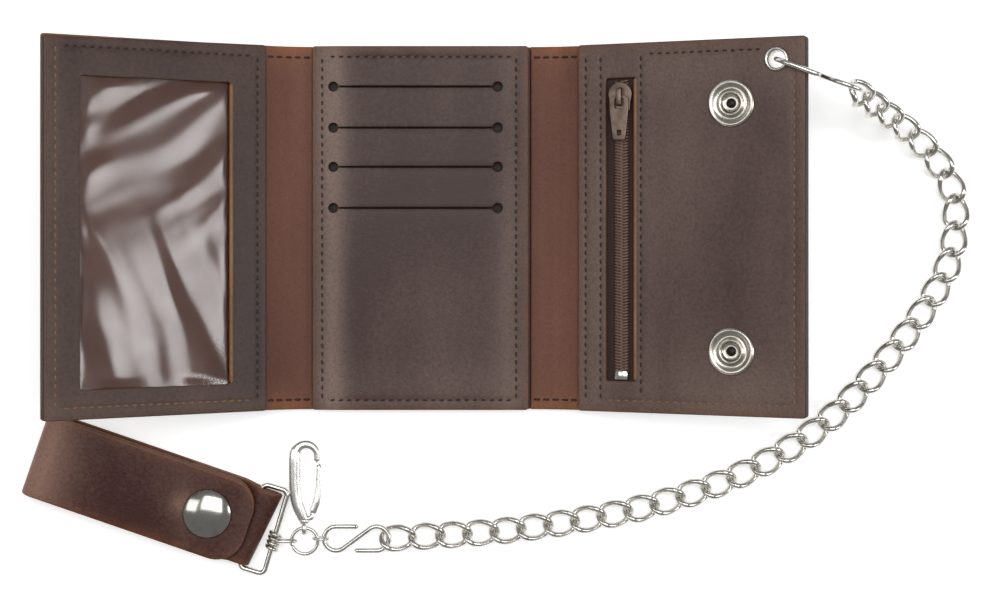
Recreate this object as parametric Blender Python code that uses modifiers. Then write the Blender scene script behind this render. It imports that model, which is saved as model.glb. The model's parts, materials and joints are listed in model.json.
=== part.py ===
"""A tri-fold chain wallet, laid open on its back, with its curb chain, clip and belt strap.

Metres, +Z up. The origin is the middle of the centre section's underside. X runs across the three
sections, Y along the folds, and the two side sections are part-way folded up about hinges along Y.
"""

import math

import bmesh
import bpy
from mathutils import Matrix, Vector

# ---- driving dimensions: the wallet
HEIGHT = 0.1143
FOLD_OFFSET = 0.0413
FOLD_HALF = 0.0070
LEFT_NEAR = 0.0076
LEFT_REACH = 0.0778
RIGHT_NEAR = 0.0068
RIGHT_REACH = 0.0787
LEFT_TILT = math.radians(30)
RIGHT_TILT = math.radians(22)
CORNER = 0.0020
GAP = 0.0003
LEATHER = 0.0014
FOLD_LEATHER = 0.0024
CARD_PANEL = 0.0035

# ---- card slots
SLOT_ROWS = (0.0444, 0.0315, 0.0192, 0.0063)
SLOT_LEFT = -0.0277
SLOT_RIGHT = 0.0239
SLOT_WIDTH = 0.0009
SLOT_HOLE = 0.0030
SLOT_DEPTH = 0.0020
CARD_RIGHT = 0.0335

# ---- the clear window of the left section
WINDOW_NEAR = 0.0189
WINDOW_WIDTH = 0.0481
WINDOW_HEIGHT = 0.0933
WINDOW_Y = -0.0017
FILM = 0.0003
FILM_MARGIN = 0.0050

# ---- the coin pocket of the right section
ZIP_NEAR = 0.0159
ZIP_WIDTH = 0.0097
ZIP_TOP = 0.0465
ZIP_BOTTOM = -0.0475
TAPE = 0.0008
TAPE_MARGIN = 0.0040
TEETH_WIDTH = 0.0043
TEETH_HEIGHT = 0.0012
STOP_LENGTH = 0.0029
SLIDER_Y = 0.0405
SLIDER_LENGTH = 0.0090
SLIDER_WIDTH = 0.0080
SLIDER_HEIGHT = 0.0018
SLIDER_ROOF = 0.00065
BRIDGE_WIDTH = 0.0018
BRIDGE_SPAN = 0.0054
BRIDGE_THICK = 0.0005
PULL_LENGTH = 0.0133
PULL_HEAD = 0.0062
PULL_TIP = 0.0035
PULL_THICK = 0.0007
PULL_BAR = 0.0008
PULL_CLEAR = 0.00008

# ---- snap fasteners and eyelet
SNAP_U = 0.05605
SNAP_Y = 0.0375
CAP_RADIUS = 0.0076
CAP_DOME = 0.0019
SOCKET_RADIUS = 0.00725
SOCKET_BARREL = 0.0040
SOCKET_RAISE = 0.0012
KNOB_RADIUS = 0.0031
KNOB_CLEAR = 0.0002
STUD_FLANGE = 0.0055
STUD_PLATE = 0.0008
STUD_HEIGHT = 0.0031
STRAP_STUD_HEIGHT = 0.0018
SOCKET_WALL = 0.0016
POST_RADIUS = 0.0015
POST_CLEAR = 0.0003
EYELET_EDGE = 0.0088
EYELET_Y = 0.0504
EYELET_RADIUS = 0.00375
EYELET_BORE = 0.0026
EYELET_WALL = 0.0005
EYELET_ROLL = 0.0006

# ---- chain
LINK_COUNT = 34
LINK_WIRE = 0.0016
LINK_WIDTH = 0.0073
LINK_TWIST = math.radians(45)
LINK_SIDES = 16
CHAIN_Z = 0.0023
RING_Z = 0.00265
CHAIN_ROUTE = (
    (0.1309, 0.0415, 0.0280),
    (0.1365, 0.0389, 0.0213),
    (0.1420, 0.0359, 0.0155),
    (0.1487, 0.0324, 0.0097),
    (0.1556, 0.0276, 0.0051),
    (0.1622, 0.0216, 0.0026),
    (0.1667, 0.0142, CHAIN_Z),
    (0.1685, 0.0063, CHAIN_Z),
    (0.1666, -0.0104, CHAIN_Z),
    (0.1587, -0.0255, CHAIN_Z),
    (0.1436, -0.0450, CHAIN_Z),
    (0.1269, -0.0618, CHAIN_Z),
    (0.1058, -0.0753, CHAIN_Z),
    (0.0828, -0.0844, CHAIN_Z),
    (0.0588, -0.0905, CHAIN_Z),
    (0.0257, -0.0954, CHAIN_Z),
    (-0.0112, -0.0978, RING_Z),
)

# ---- hooks, rings and clip
HOOK_WIRE = 0.0016
WALLET_HOOK_WIDTH = 0.0128
WALLET_HOOK_INSET = 0.0007
STRAP_HOOK_LENGTH = 0.0220
STRAP_HOOK_WIDTH = 0.0092
JUMP_RADIUS = 0.0041
JUMP_WIRE = 0.0012
JUMP_Y = -0.0986
EYE_WIRE = 0.0010
EYE_HALF = 0.0015
BITE = 0.00015
STRAP_TURN = math.radians(-19)
STRAP_RING_TURN = math.radians(2.5)
STRAP_RING_LENGTH = 0.0290
STRAP_RING_WIDTH = 0.0099
STRAP_RING_WIRE = 0.0017
STRAP_RING_CORNER = 0.0018
CLIP_WIRE = 0.0025
CLIP_GATE_WIRE = 0.0018
CLIP_ARM = 0.0020
CLIP_EYE = 0.0018
CLIP_EYE_WIRE = 0.0015

# ---- belt strap
STRAP_X = -0.0856
STRAP_Y = -0.0827
STRAP_WIDTH = 0.0265
STRAP_LEFT = -0.03785
STRAP_FOLD = 0.0385
STRAP_LEATHER = 0.0015
BELT_GAP = 0.0050
STRAP_SNAP_X = 0.0199
FLAP_TIP_X = 0.0333
FLAP_CORNER = 0.0090
RETURN_END = 0.0090
NECK_START = 0.0275
NECK_END = 0.0320
NECK_WIDTH = 0.0247
NECK_SKEW = 0.125
BAR_DEPTH = 0.00485

# ---- derived sizes
HALF = HEIGHT / 2
CENTRE_TOP = LEATHER + GAP + CARD_PANEL
LEFT_STACK = 2 * LEATHER + FILM + 2 * GAP
RIGHT_STACK = 2 * LEATHER + TAPE + 2 * GAP + 0.0002
LEFT_HINGE_Z = (CENTRE_TOP + LEFT_STACK + GAP) / 2
CLOSED_GAP = SOCKET_RAISE + STUD_PLATE + 2 * GAP
RIGHT_HINGE_Z = (2 * LEFT_HINGE_Z + CLOSED_GAP + RIGHT_STACK) / 2
STUD_U = 2 * FOLD_OFFSET - SNAP_U

SHAPE = "Chain wallet"
CUTTERS = "Cutters"


def clear_scene():
    for thing in list(bpy.data.objects):
        bpy.data.objects.remove(thing, do_unlink=True)


def collection(name, hidden=False):
    made = bpy.data.collections.new(name)
    bpy.context.scene.collection.children.link(made)
    made.hide_render = hidden
    return made


def material(name, colour, roughness, metallic=0.0):
    made = bpy.data.materials.new(name)
    made.use_nodes = True
    shader = made.node_tree.nodes["Principled BSDF"]
    shader.inputs["Base Color"].default_value = (*colour, 1.0)
    shader.inputs["Roughness"].default_value = roughness
    shader.inputs["Metallic"].default_value = metallic
    return made


def add(name, data, finish, parent=None, place=None):
    thing = bpy.data.objects.new(name, data)
    data.materials.clear()
    data.materials.append(finish)
    bpy.data.collections[SHAPE].objects.link(thing)
    thing.parent = parent
    if place is not None:
        thing.matrix_local = place
    return thing


def frame(name, place, parent=None):
    """An empty on a joint's axis, which carries the pieces that move with it."""
    empty = bpy.data.objects.new(name, None)
    empty.empty_display_size = 0.01
    bpy.data.collections[SHAPE].objects.link(empty)
    empty.parent = parent
    empty.matrix_local = place
    return empty


def at(x=0.0, y=0.0, z=0.0):
    return Matrix.Translation((x, y, z))


# ---- outlines: lists of (x, y), anticlockwise


def arc(x, y, radius, start, end, steps):
    """Points along an arc, from start to end in degrees."""
    angles = (math.radians(start + (end - start) * i / steps) for i in range(steps + 1))
    return [(x + radius * math.cos(a), y + radius * math.sin(a)) for a in angles]


def circle(x, y, radius, steps=12):
    return arc(x, y, radius, 0, 360, steps)[:-1]


def rounded(x0, x1, y0, y1, radius, steps=3):
    corners = ((x1, y0, 1, -1, -90), (x1, y1, 1, 1, 0), (x0, y1, -1, 1, 90), (x0, y0, -1, -1, 180))
    points = []
    for x, y, side, rise, start in corners:
        points += arc(x - side * radius, y - rise * radius, radius, start, start + 90, steps)
    return points


def dumbbell(x0, x1, y, width, hole):
    """A slit with a round hole at each end."""
    half = math.degrees(math.asin(width / hole))
    right = arc(x1, y, hole / 2, half - 180, 180 - half, 9)
    left = arc(x0, y, hole / 2, half, 360 - half, 9)
    return right + left


# ---- solids


def plate_data(name, outlines, thickness):
    """A flat outline with holes, as thick as told, centred on its own plane."""
    data = bpy.data.curves.new(name, "CURVE")
    data.dimensions = "2D"
    data.fill_mode = "BOTH"
    data.extrude = thickness / 2
    for outline in outlines:
        spline = data.splines.new("POLY")
        spline.points.add(len(outline) - 1)
        for point, (x, y) in zip(spline.points, outline):
            point.co = (x, y, 0.0, 1.0)
        spline.use_cyclic_u = True
    return data


def plate(name, outlines, low, thickness, finish, parent=None, place=None):
    middle = (place or Matrix.Identity(4)) @ at(z=low + thickness / 2)
    return add(name, plate_data(name, outlines, thickness), finish, parent, middle)


def wire_data(name, points, thickness, cyclic=False, sides=2, scales=None):
    data = bpy.data.curves.new(name, "CURVE")
    data.dimensions = "3D"
    data.bevel_depth = thickness / 2
    data.bevel_resolution = sides
    data.use_fill_caps = not cyclic
    spline = data.splines.new("POLY")
    spline.points.add(len(points) - 1)
    for i, (point, place) in enumerate(zip(spline.points, points)):
        point.co = (*place, 1.0)
        point.radius = scales[i] if scales else 1.0
    spline.use_cyclic_u = cyclic
    return data


def wire(name, points, thickness, finish, parent=None, place=None, **options):
    return add(name, wire_data(name, points, thickness, **options), finish, parent, place)


def as_mesh(data, place=None):
    """A curve made a closed mesh, with its caps welded, so that it can be cut or joined."""
    guide = bpy.data.objects.new("guide", data)
    bpy.data.collections[CUTTERS].objects.link(guide)
    graph = bpy.context.evaluated_depsgraph_get()
    mesh = bpy.data.meshes.new_from_object(guide.evaluated_get(graph))
    bpy.data.objects.remove(guide)
    work = bmesh.new()
    work.from_mesh(mesh)
    bmesh.ops.remove_doubles(work, verts=work.verts, dist=0.000002)
    bmesh.ops.recalc_face_normals(work, faces=work.faces)
    work.to_mesh(mesh)
    work.free()
    mesh.transform(place or Matrix.Identity(4))
    return mesh


def cutter(name, mesh, parent=None, place=None):
    thing = bpy.data.objects.new(name, mesh)
    bpy.data.collections[CUTTERS].objects.link(thing)
    thing.hide_render = True
    thing.display_type = "WIRE"
    thing.parent = parent
    if place is not None:
        thing.matrix_local = place
    return thing


def boolean(thing, other, operation):
    change = thing.modifiers.new(operation.title(), "BOOLEAN")
    change.operation = operation
    change.object = other
    change.solver = "EXACT"


def rod(radius, low, high, x=0.0, y=0.0, steps=12):
    """A plain round cutter, upright."""
    mesh = bpy.data.meshes.new("rod")
    work = bmesh.new()
    spot = at(x, y, (low + high) / 2)
    bmesh.ops.create_cone(
        work, cap_ends=True, segments=steps, radius1=radius, radius2=radius, depth=high - low, matrix=spot
    )
    work.to_mesh(mesh)
    work.free()
    return mesh


def block(x0, x1, y0, y1, z0, z1):
    mesh = bpy.data.meshes.new("block")
    work = bmesh.new()
    spot = at((x0 + x1) / 2, (y0 + y1) / 2, (z0 + z1) / 2)
    bmesh.ops.create_cube(work, size=1.0, matrix=spot @ Matrix.Diagonal((x1 - x0, y1 - y0, z1 - z0, 1.0)))
    work.to_mesh(mesh)
    work.free()
    return mesh


def turned(name, profile, finish, parent, place, closed=False, steps=16):
    """A profile of (radius, height), listed down its outer side, turned about local Z."""
    mesh = bpy.data.meshes.new(name)
    edges = [(i, i + 1) for i in range(len(profile) - 1)]
    if closed:
        edges.append((len(profile) - 1, 0))
    mesh.from_pydata([(r, 0.0, z) for r, z in profile], edges, [])
    thing = add(name, mesh, finish, parent, place)
    screw = thing.modifiers.new("Screw", "SCREW")
    screw.steps = steps
    screw.render_steps = steps
    screw.use_merge_vertices = True
    screw.merge_threshold = 0.00001
    screw.use_smooth_shade = True
    return thing


def strip_outline(path, thickness):
    """The outline of a strip of even thickness along a path of (x, z) points."""
    left, right = [], []
    for i, (x, z) in enumerate(path):
        before, after = path[max(i - 1, 0)], path[min(i + 1, len(path) - 1)]
        along = Vector((after[0] - before[0], after[1] - before[1])).normalized()
        left.append((x - along.y * thickness / 2, z + along.x * thickness / 2))
        right.append((x + along.y * thickness / 2, z - along.x * thickness / 2))
    return left + right[::-1]


def strip_data(name, path, thickness, width):
    """A strip that bends in X and Z and is as wide as told along Y."""
    return plate_data(name, [strip_outline(path, thickness)], width)


ON_EDGE = Matrix.Rotation(math.radians(90), 4, "X")


def smooth_bend(start, start_way, end, end_way, pull, steps):
    """Points of a cubic curve between two places, with the way it leaves and arrives."""
    a, d = Vector(start), Vector(end)
    b, c = a + pull * Vector(start_way), d - pull * Vector(end_way)
    points = []
    for i in range(steps + 1):
        t = i / steps
        p = (1 - t) ** 3 * a + 3 * (1 - t) ** 2 * t * b + 3 * (1 - t) * t**2 * c + t**3 * d
        points.append(tuple(p))
    return points


# ---- the leather sections


def centre_section(leather, liner):
    cover = rounded(-FOLD_OFFSET + FOLD_HALF, FOLD_OFFSET - FOLD_HALF, -HALF, HALF, GAP)
    plate("outer_cover_centre", [cover], 0.0, LEATHER, leather)
    panel = rounded(-FOLD_OFFSET + FOLD_HALF, CARD_RIGHT, -HALF, HALF, GAP)
    low = LEATHER + GAP
    mesh = as_mesh(plate_data("card_slot_panel", [panel], CARD_PANEL), at(z=low + CARD_PANEL / 2))
    card = add("card_slot_panel", mesh, liner)
    slits = [dumbbell(SLOT_LEFT, SLOT_RIGHT, y, SLOT_WIDTH, SLOT_HOLE) for y in SLOT_ROWS]
    cut = as_mesh(plate_data("slot_cutter", slits, 2 * SLOT_DEPTH), at(z=low + CARD_PANEL))
    boolean(card, cutter("slot_cutter", cut), "DIFFERENCE")


def fold_strip(name, side, hinge_z, tilt, near, finish):
    """The flexing leather between the centre section and one side section."""
    middle = FOLD_LEATHER / 2
    start = (side * (FOLD_OFFSET - FOLD_HALF + GAP), middle)
    u, drop = near - GAP, middle - hinge_z
    x = FOLD_OFFSET + u * math.cos(tilt) - drop * math.sin(tilt)
    end = (side * x, hinge_z + u * math.sin(tilt) + drop * math.cos(tilt))
    way = (side * math.cos(tilt), math.sin(tilt))
    path = smooth_bend(start, (side, 0.0), end, way, FOLD_HALF * 0.75, 8)
    data = strip_data(name, path, FOLD_LEATHER, HEIGHT)
    add(name, data, finish, None, ON_EDGE)


def left_section(hinge, leather, liner, clear, nickel):
    low = -LEFT_HINGE_Z
    back = rounded(-LEFT_REACH, -LEFT_NEAR, -HALF, HALF, CORNER)
    posts = [circle(-STUD_U, side * SNAP_Y, POST_RADIUS + POST_CLEAR) for side in (-1, 1)]
    plate("outer_cover_left", [back, *posts], low, LEATHER, leather, hinge)
    window_far = WINDOW_NEAR + WINDOW_WIDTH
    y0, y1 = WINDOW_Y - WINDOW_HEIGHT / 2, WINDOW_Y + WINDOW_HEIGHT / 2
    film = rounded(
        -window_far - FILM_MARGIN, -WINDOW_NEAR + FILM_MARGIN, y0 - FILM_MARGIN, y1 + FILM_MARGIN, CORNER
    )
    plate("window_film", [film], low + LEATHER + GAP, FILM, clear, hinge)
    window = rounded(-window_far, -WINDOW_NEAR, y0, y1, CORNER)
    plate("window_frame", [back, window], low + LEFT_STACK - LEATHER, LEATHER, liner, hinge)
    for place, side in (("lower", -1), ("upper", 1)):
        spot = at(-STUD_U, side * SNAP_Y, low)
        stud(f"snap_stud_{place}", STUD_HEIGHT, LEATHER, nickel, hinge, spot @ Matrix.Rotation(math.pi, 4, "X"))


def stud(name, height, depth, finish, parent, place):
    """A snap's ball stud, standing on +Z, with its post going down through the leather."""
    plate_top = GAP + STUD_PLATE
    top = GAP + height
    grip = (top - plate_top) * 0.7
    neck = KNOB_RADIUS - 0.0005
    profile = (
        (0.0, top),
        (neck, top),
        (KNOB_RADIUS, top - 0.0005),
        (KNOB_RADIUS, top - grip),
        (neck, plate_top),
        (STUD_FLANGE, plate_top),
        (STUD_FLANGE, GAP),
        (POST_RADIUS, GAP),
        (POST_RADIUS, -depth),
        (0.0, -depth),
    )
    turned(name, profile, finish, parent, place)


def socket(name, finish, parent, place):
    """A snap's socket inside, its post through the leather and its domed cap outside."""
    face = RIGHT_STACK + SOCKET_RAISE
    floor = face - STUD_HEIGHT - GAP
    barrel_low = LEATHER + 2 * GAP
    well = KNOB_RADIUS + KNOB_CLEAR
    post = POST_RADIUS
    flange_low = RIGHT_STACK + GAP
    profile = (
        (0.0, floor),
        (well, floor),
        (well, face),
        (SOCKET_RADIUS - 0.0006, face),
        (SOCKET_RADIUS, face - 0.0004),
        (SOCKET_RADIUS, flange_low),
        (SOCKET_BARREL, flange_low),
        (SOCKET_BARREL, barrel_low),
        (post, barrel_low),
        (post, -GAP),
        (CAP_RADIUS, -GAP),
        (CAP_RADIUS * 0.83, -GAP - CAP_DOME * 0.45),
        (CAP_RADIUS * 0.46, -GAP - CAP_DOME * 0.87),
        (0.0, -GAP - CAP_DOME),
    )
    turned(name, profile, finish, parent, place)


def right_section(hinge, leather, liner, cloth, nickel):
    low = -RIGHT_HINGE_Z
    outline = rounded(RIGHT_NEAR, RIGHT_REACH, -HALF, HALF, CORNER)
    eyelet_u = RIGHT_REACH - EYELET_EDGE
    eyelet_hole = circle(eyelet_u, EYELET_Y, EYELET_BORE + EYELET_WALL + POST_CLEAR)
    posts = [circle(SNAP_U, side * SNAP_Y, POST_RADIUS + POST_CLEAR) for side in (-1, 1)]
    plate("outer_cover_right", [outline, eyelet_hole, *posts], low, LEATHER, leather, hinge)
    barrels = [circle(SNAP_U, side * SNAP_Y, SOCKET_BARREL + POST_CLEAR) for side in (-1, 1)]
    opening = rounded(ZIP_NEAR, ZIP_NEAR + ZIP_WIDTH, ZIP_BOTTOM, ZIP_TOP, 0.0008)
    panel_low = low + RIGHT_STACK - LEATHER
    plate("coin_pocket_panel", [outline, eyelet_hole, opening, *barrels], panel_low, LEATHER, liner, hinge)
    zip_tape(hinge, low + LEATHER + GAP, cloth)
    for place, side in (("lower", -1), ("upper", 1)):
        socket(f"snap_socket_{place}", nickel, hinge, at(SNAP_U, side * SNAP_Y, low))
    eyelet(nickel, hinge, at(eyelet_u, EYELET_Y, low))


def eyelet(finish, parent, place):
    top, bottom = RIGHT_STACK + GAP, -GAP
    wall = EYELET_BORE + EYELET_WALL
    profile = (
        (EYELET_BORE, top + EYELET_ROLL),
        (EYELET_RADIUS - 0.0003, top + EYELET_ROLL),
        (EYELET_RADIUS, top + EYELET_ROLL / 2),
        (EYELET_RADIUS, top),
        (wall, top),
        (wall, bottom),
        (EYELET_RADIUS, bottom),
        (EYELET_RADIUS, bottom - EYELET_ROLL / 2),
        (EYELET_RADIUS - 0.0003, bottom - EYELET_ROLL),
        (EYELET_BORE, bottom - EYELET_ROLL),
    )
    turned("chain_eyelet", profile, finish, parent, place, closed=True)


def zip_tape(hinge, low, cloth):
    """The zip's tape with its coil and its bottom stop on it, as one piece."""
    middle = ZIP_NEAR + ZIP_WIDTH / 2
    x0, x1 = ZIP_NEAR - TAPE_MARGIN, ZIP_NEAR + ZIP_WIDTH + TAPE_MARGIN
    y0, y1 = ZIP_BOTTOM - TAPE_MARGIN, ZIP_TOP + TAPE_MARGIN
    tape = add("zip_tape", block(x0, x1, y0, y1, low, low + TAPE), cloth, hinge)
    sunk = low + TAPE - BITE
    top = low + TAPE + TEETH_HEIGHT
    half = TEETH_WIDTH / 2
    coil = block(middle - half, middle + half, ZIP_BOTTOM + GAP, ZIP_TOP - GAP, sunk, top)
    boolean(tape, cutter("coil_shape", coil, hinge), "UNION")
    stop_y = SLIDER_Y - ZIP_TRAVEL - SLIDER_LENGTH / 2 - GAP
    stop = block(middle - half - BITE, middle + half + BITE, stop_y - STOP_LENGTH, stop_y, sunk, top + BITE)
    boolean(tape, cutter("stop_shape", stop, hinge), "UNION")


ZIP_TRAVEL = 0.0800


def zip_slider(hinge, metal, brass):
    """The slider straddles the coil, and its pull hangs in the bridge on its back."""
    middle = ZIP_NEAR + ZIP_WIDTH / 2
    tape_top = -RIGHT_HINGE_Z + LEATHER + GAP + TAPE
    carrier = frame("zip_slider_axis", at(middle, SLIDER_Y, tape_top + GAP), hinge)
    top = SLIDER_HEIGHT + SLIDER_ROOF - GAP
    half, long = SLIDER_WIDTH / 2, SLIDER_LENGTH / 2
    outline = rounded(-half, half, -long, long, 0.0018)
    body = as_mesh(plate_data("zip_slider", [outline], top), at(z=top / 2))
    slider = add("zip_slider", body, metal, carrier)
    channel = TEETH_WIDTH / 2 + 2 * GAP
    ceiling = TEETH_HEIGHT + BITE
    cut = block(-channel, channel, -2 * long, 2 * long, -top, ceiling)
    boolean(slider, cutter("slider_channel", cut, carrier), "DIFFERENCE")
    swing = math.hypot(PULL_THICK, PULL_BAR) / 2 + PULL_CLEAR
    pivot_z, roof = top + swing, top + 2 * swing
    reach = BRIDGE_SPAN / 2
    wide = BRIDGE_WIDTH / 2
    arch = block(-wide, wide, -reach, reach, top - BITE, roof + BRIDGE_THICK)
    boolean(slider, cutter("bridge_shape", arch, carrier), "UNION")
    inside = reach - 0.0009
    tunnel = block(-2 * wide, 2 * wide, -inside, inside, top, roof)
    boolean(slider, cutter("bridge_tunnel", tunnel, carrier), "DIFFERENCE")
    zip_pull(carrier, pivot_z, brass)


def zip_pull(carrier, pivot_z, finish):
    axis = frame("zip_pull_axis", at(z=pivot_z), carrier)
    head, tip, bar = PULL_HEAD / 2, PULL_TIP / 2, PULL_BAR / 2
    far = -PULL_LENGTH
    outline = [(tip, far + 0.0008), (head, -0.0045), (head, -0.0008), (head - 0.0012, bar)]
    mirrored = [(-x, y) for x, y in reversed(outline)]
    end = [(-tip + 0.0008, far), (tip - 0.0008, far)]
    clear = BRIDGE_WIDTH / 2 + 2 * GAP
    eye = [(-clear, -bar), (-clear, -0.0042), (clear, -0.0042), (clear, -bar)]
    hole = rounded(-0.0006, 0.0006, far + 0.0016, far + 0.0030, 0.0001, 1)
    plate("zip_pull", [outline + mirrored + end, eye, hole], -PULL_THICK / 2, PULL_THICK, finish, axis)


# ---- chain and hooks


def along(route, steps=40):
    """A smooth curve through the route's points, read off closely."""
    points = [Vector(p) for p in route]
    ends = [2 * points[0] - points[1], *points, 2 * points[-1] - points[-2]]
    line = []
    for a, b, c, d in zip(ends, ends[1:], ends[2:], ends[3:]):
        for i in range(steps):
            t = i / steps
            line.append(
                0.5
                * (
                    2 * b
                    + (c - a) * t
                    + (2 * a - 5 * b + 4 * c - d) * t**2
                    + (3 * b - a - 3 * c + d) * t**3
                )
            )
    return [*line, points[-1]]


def walked(line, pitch):
    """Points on the line, each a pitch from the last, and how far the last is along it."""
    found = [line[0]]
    for i, (a, b) in enumerate(zip(line, line[1:])):
        if (b - found[-1]).length >= pitch:
            low, high = 0.0, 1.0
            for _ in range(30):
                t = (low + high) / 2
                if (a.lerp(b, t) - found[-1]).length < pitch:
                    low = t
                else:
                    high = t
            found.append(a.lerp(b, high))
    return found


def chain_joints():
    """The points where neighbouring links meet, LINK_COUNT equal steps along the route."""
    line = along(CHAIN_ROUTE)
    low, high = 0.004, 0.012
    for _ in range(40):
        pitch = (low + high) / 2
        if len(walked(line, pitch)) > LINK_COUNT:
            low = pitch
        else:
            high = pitch
    joints = walked(line, low)
    return joints[: LINK_COUNT + 1], low


def link_points(pitch):
    """The centre line of one twisted link, from its joint with the last one at x = 0."""
    far = (pitch + LINK_WIRE + GAP) / 2
    round_end = (LINK_WIDTH - LINK_WIRE) / 2
    straight = far - round_end
    points = []
    for i in range(LINK_SIDES):
        angle = 2 * math.pi * (i + 0.5) / LINK_SIDES
        shift = math.copysign(straight, math.cos(angle))
        x = shift + round_end * math.cos(angle)
        y = round_end * math.sin(angle)
        twist = LINK_TWIST * math.sin(math.pi / 2 * x / far)
        points.append((x + pitch / 2, y * math.cos(twist), y * math.sin(twist)))
    return points


def pointing(start, end):
    """A frame at start with X towards end and Z as near up as it can be."""
    along_x = (end - start).normalized()
    along_y = Vector((0, 0, 1)).cross(along_x).normalized()
    along_z = along_x.cross(along_y)
    place = Matrix((along_x, along_y, along_z)).transposed().to_4x4()
    place.translation = start
    return place


def chain(nickel):
    joints, pitch = chain_joints()
    data = wire_data("chain_link", link_points(pitch), LINK_WIRE, cyclic=True, sides=1)
    for i in range(LINK_COUNT - 2):
        add(f"chain_link_{i + 1:02d}", data, nickel, None, pointing(joints[i], joints[i + 1]))
    # the last two links are one piece, so the second is drawn tight against the first
    first = pointing(joints[-3], joints[-2])
    second = pointing(joints[-2], joints[-1]) @ at(x=GAP + LINK_WIRE * 0.2)
    pair = add(f"chain_link_{LINK_COUNT - 1:02d}", as_mesh(data.copy()), nickel, None, first)
    last = as_mesh(data.copy(), first.inverted() @ second)
    boolean(pair, cutter("last_link", last, pair), "UNION")
    joints[-1] = second @ Vector((pitch, 0.0, 0.0))
    return joints


def hook_points(length, width):
    """The centre line of an S-shaped hook, symmetric about its middle, lying along X."""
    radius = (width - HOOK_WIRE) / 2
    centre = (length - HOOK_WIRE) / 2 - radius
    lean = math.degrees(math.asin(radius / centre))
    half = [(0.0011 - centre * 0.15, radius), (-centre, radius)]
    half += arc(-centre, 0.0, radius, 90, 270 + lean, 9)[1:]
    return half + [(-x, -y) for x, y in reversed(half)]


def wallet_hook(joints, hinge, nickel):
    """The hook that carries the chain: its first loop goes through the eyelet."""
    u, z = RIGHT_REACH - EYELET_EDGE, RIGHT_STACK / 2 + GAP - RIGHT_HINGE_Z
    hinge_place = at(FOLD_OFFSET, 0.0, RIGHT_HINGE_Z) @ Matrix.Rotation(-RIGHT_TILT, 4, "Y")
    centre = hinge_place @ Vector((u, EYELET_Y, z))
    loop = (WALLET_HOOK_WIDTH - HOOK_WIRE) / 2
    far = joints[0] - (joints[1] - joints[0]).normalized() * (loop - (LINK_WIRE + GAP) / 2)
    place = pointing(centre, far)
    reach = (far - centre).length + loop + GAP / 2
    length = reach + WALLET_HOOK_INSET + HOOK_WIRE
    middle = (reach - WALLET_HOOK_INSET) / 2
    points = [(x + middle, 0.0, y) for x, y in hook_points(length, WALLET_HOOK_WIDTH)]
    wire("wallet_hook", points, HOOK_WIRE, nickel, None, place)


def upright_eye(left, right, y, z):
    """A long loop that stands on edge along X, around two wires: its centre line."""
    radius = EYE_HALF
    outline = arc(right - radius, 0.0, radius, -90, 90, 5) + arc(left + radius, 0.0, radius, 90, 270, 5)
    return [(x, y, z + h) for x, h in outline]


def strap_hook(joints, nickel):
    """The hook at the strap's end of the chain, with the small link on it that holds the ring."""
    end = joints[-1]
    right = end.x + HOOK_WIRE / 2 + 2 * GAP
    half = (STRAP_HOOK_LENGTH - HOOK_WIRE) / 2
    points = [
        (x + right - half, y + end.y, RING_Z) for x, y in hook_points(STRAP_HOOK_LENGTH, STRAP_HOOK_WIDTH)
    ]
    spot = at(*end)
    back = spot.inverted()
    mesh = as_mesh(wire_data("strap_hook", points, HOOK_WIRE), back)
    hook = add("strap_hook", mesh, nickel, None, spot)
    hook_wire = right - 2 * half
    ring_wire = hook_wire - HOOK_WIRE / 2 - JUMP_WIRE / 2 - 2 * GAP
    eye_right = hook_wire + HOOK_WIRE / 2 - BITE + EYE_WIRE / 2
    eye_left = ring_wire - JUMP_WIRE / 2 - GAP - EYE_WIRE / 2
    eye = wire_data("eye", upright_eye(eye_left, eye_right, end.y, RING_Z), EYE_WIRE, cyclic=True)
    boolean(hook, cutter("hook_eye", as_mesh(eye, back), hook), "UNION")
    return ring_wire


def jump_ring(ring_wire, nickel):
    centre = Vector((ring_wire - JUMP_RADIUS, JUMP_Y, RING_Z))
    points = [(x - JUMP_RADIUS, y, 0.0) for x, y in circle(0.0, 0.0, JUMP_RADIUS, 24)]
    wire("jump_ring", points, JUMP_WIRE, nickel, None, at(ring_wire, JUMP_Y, RING_Z), cyclic=True)
    return centre


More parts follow.
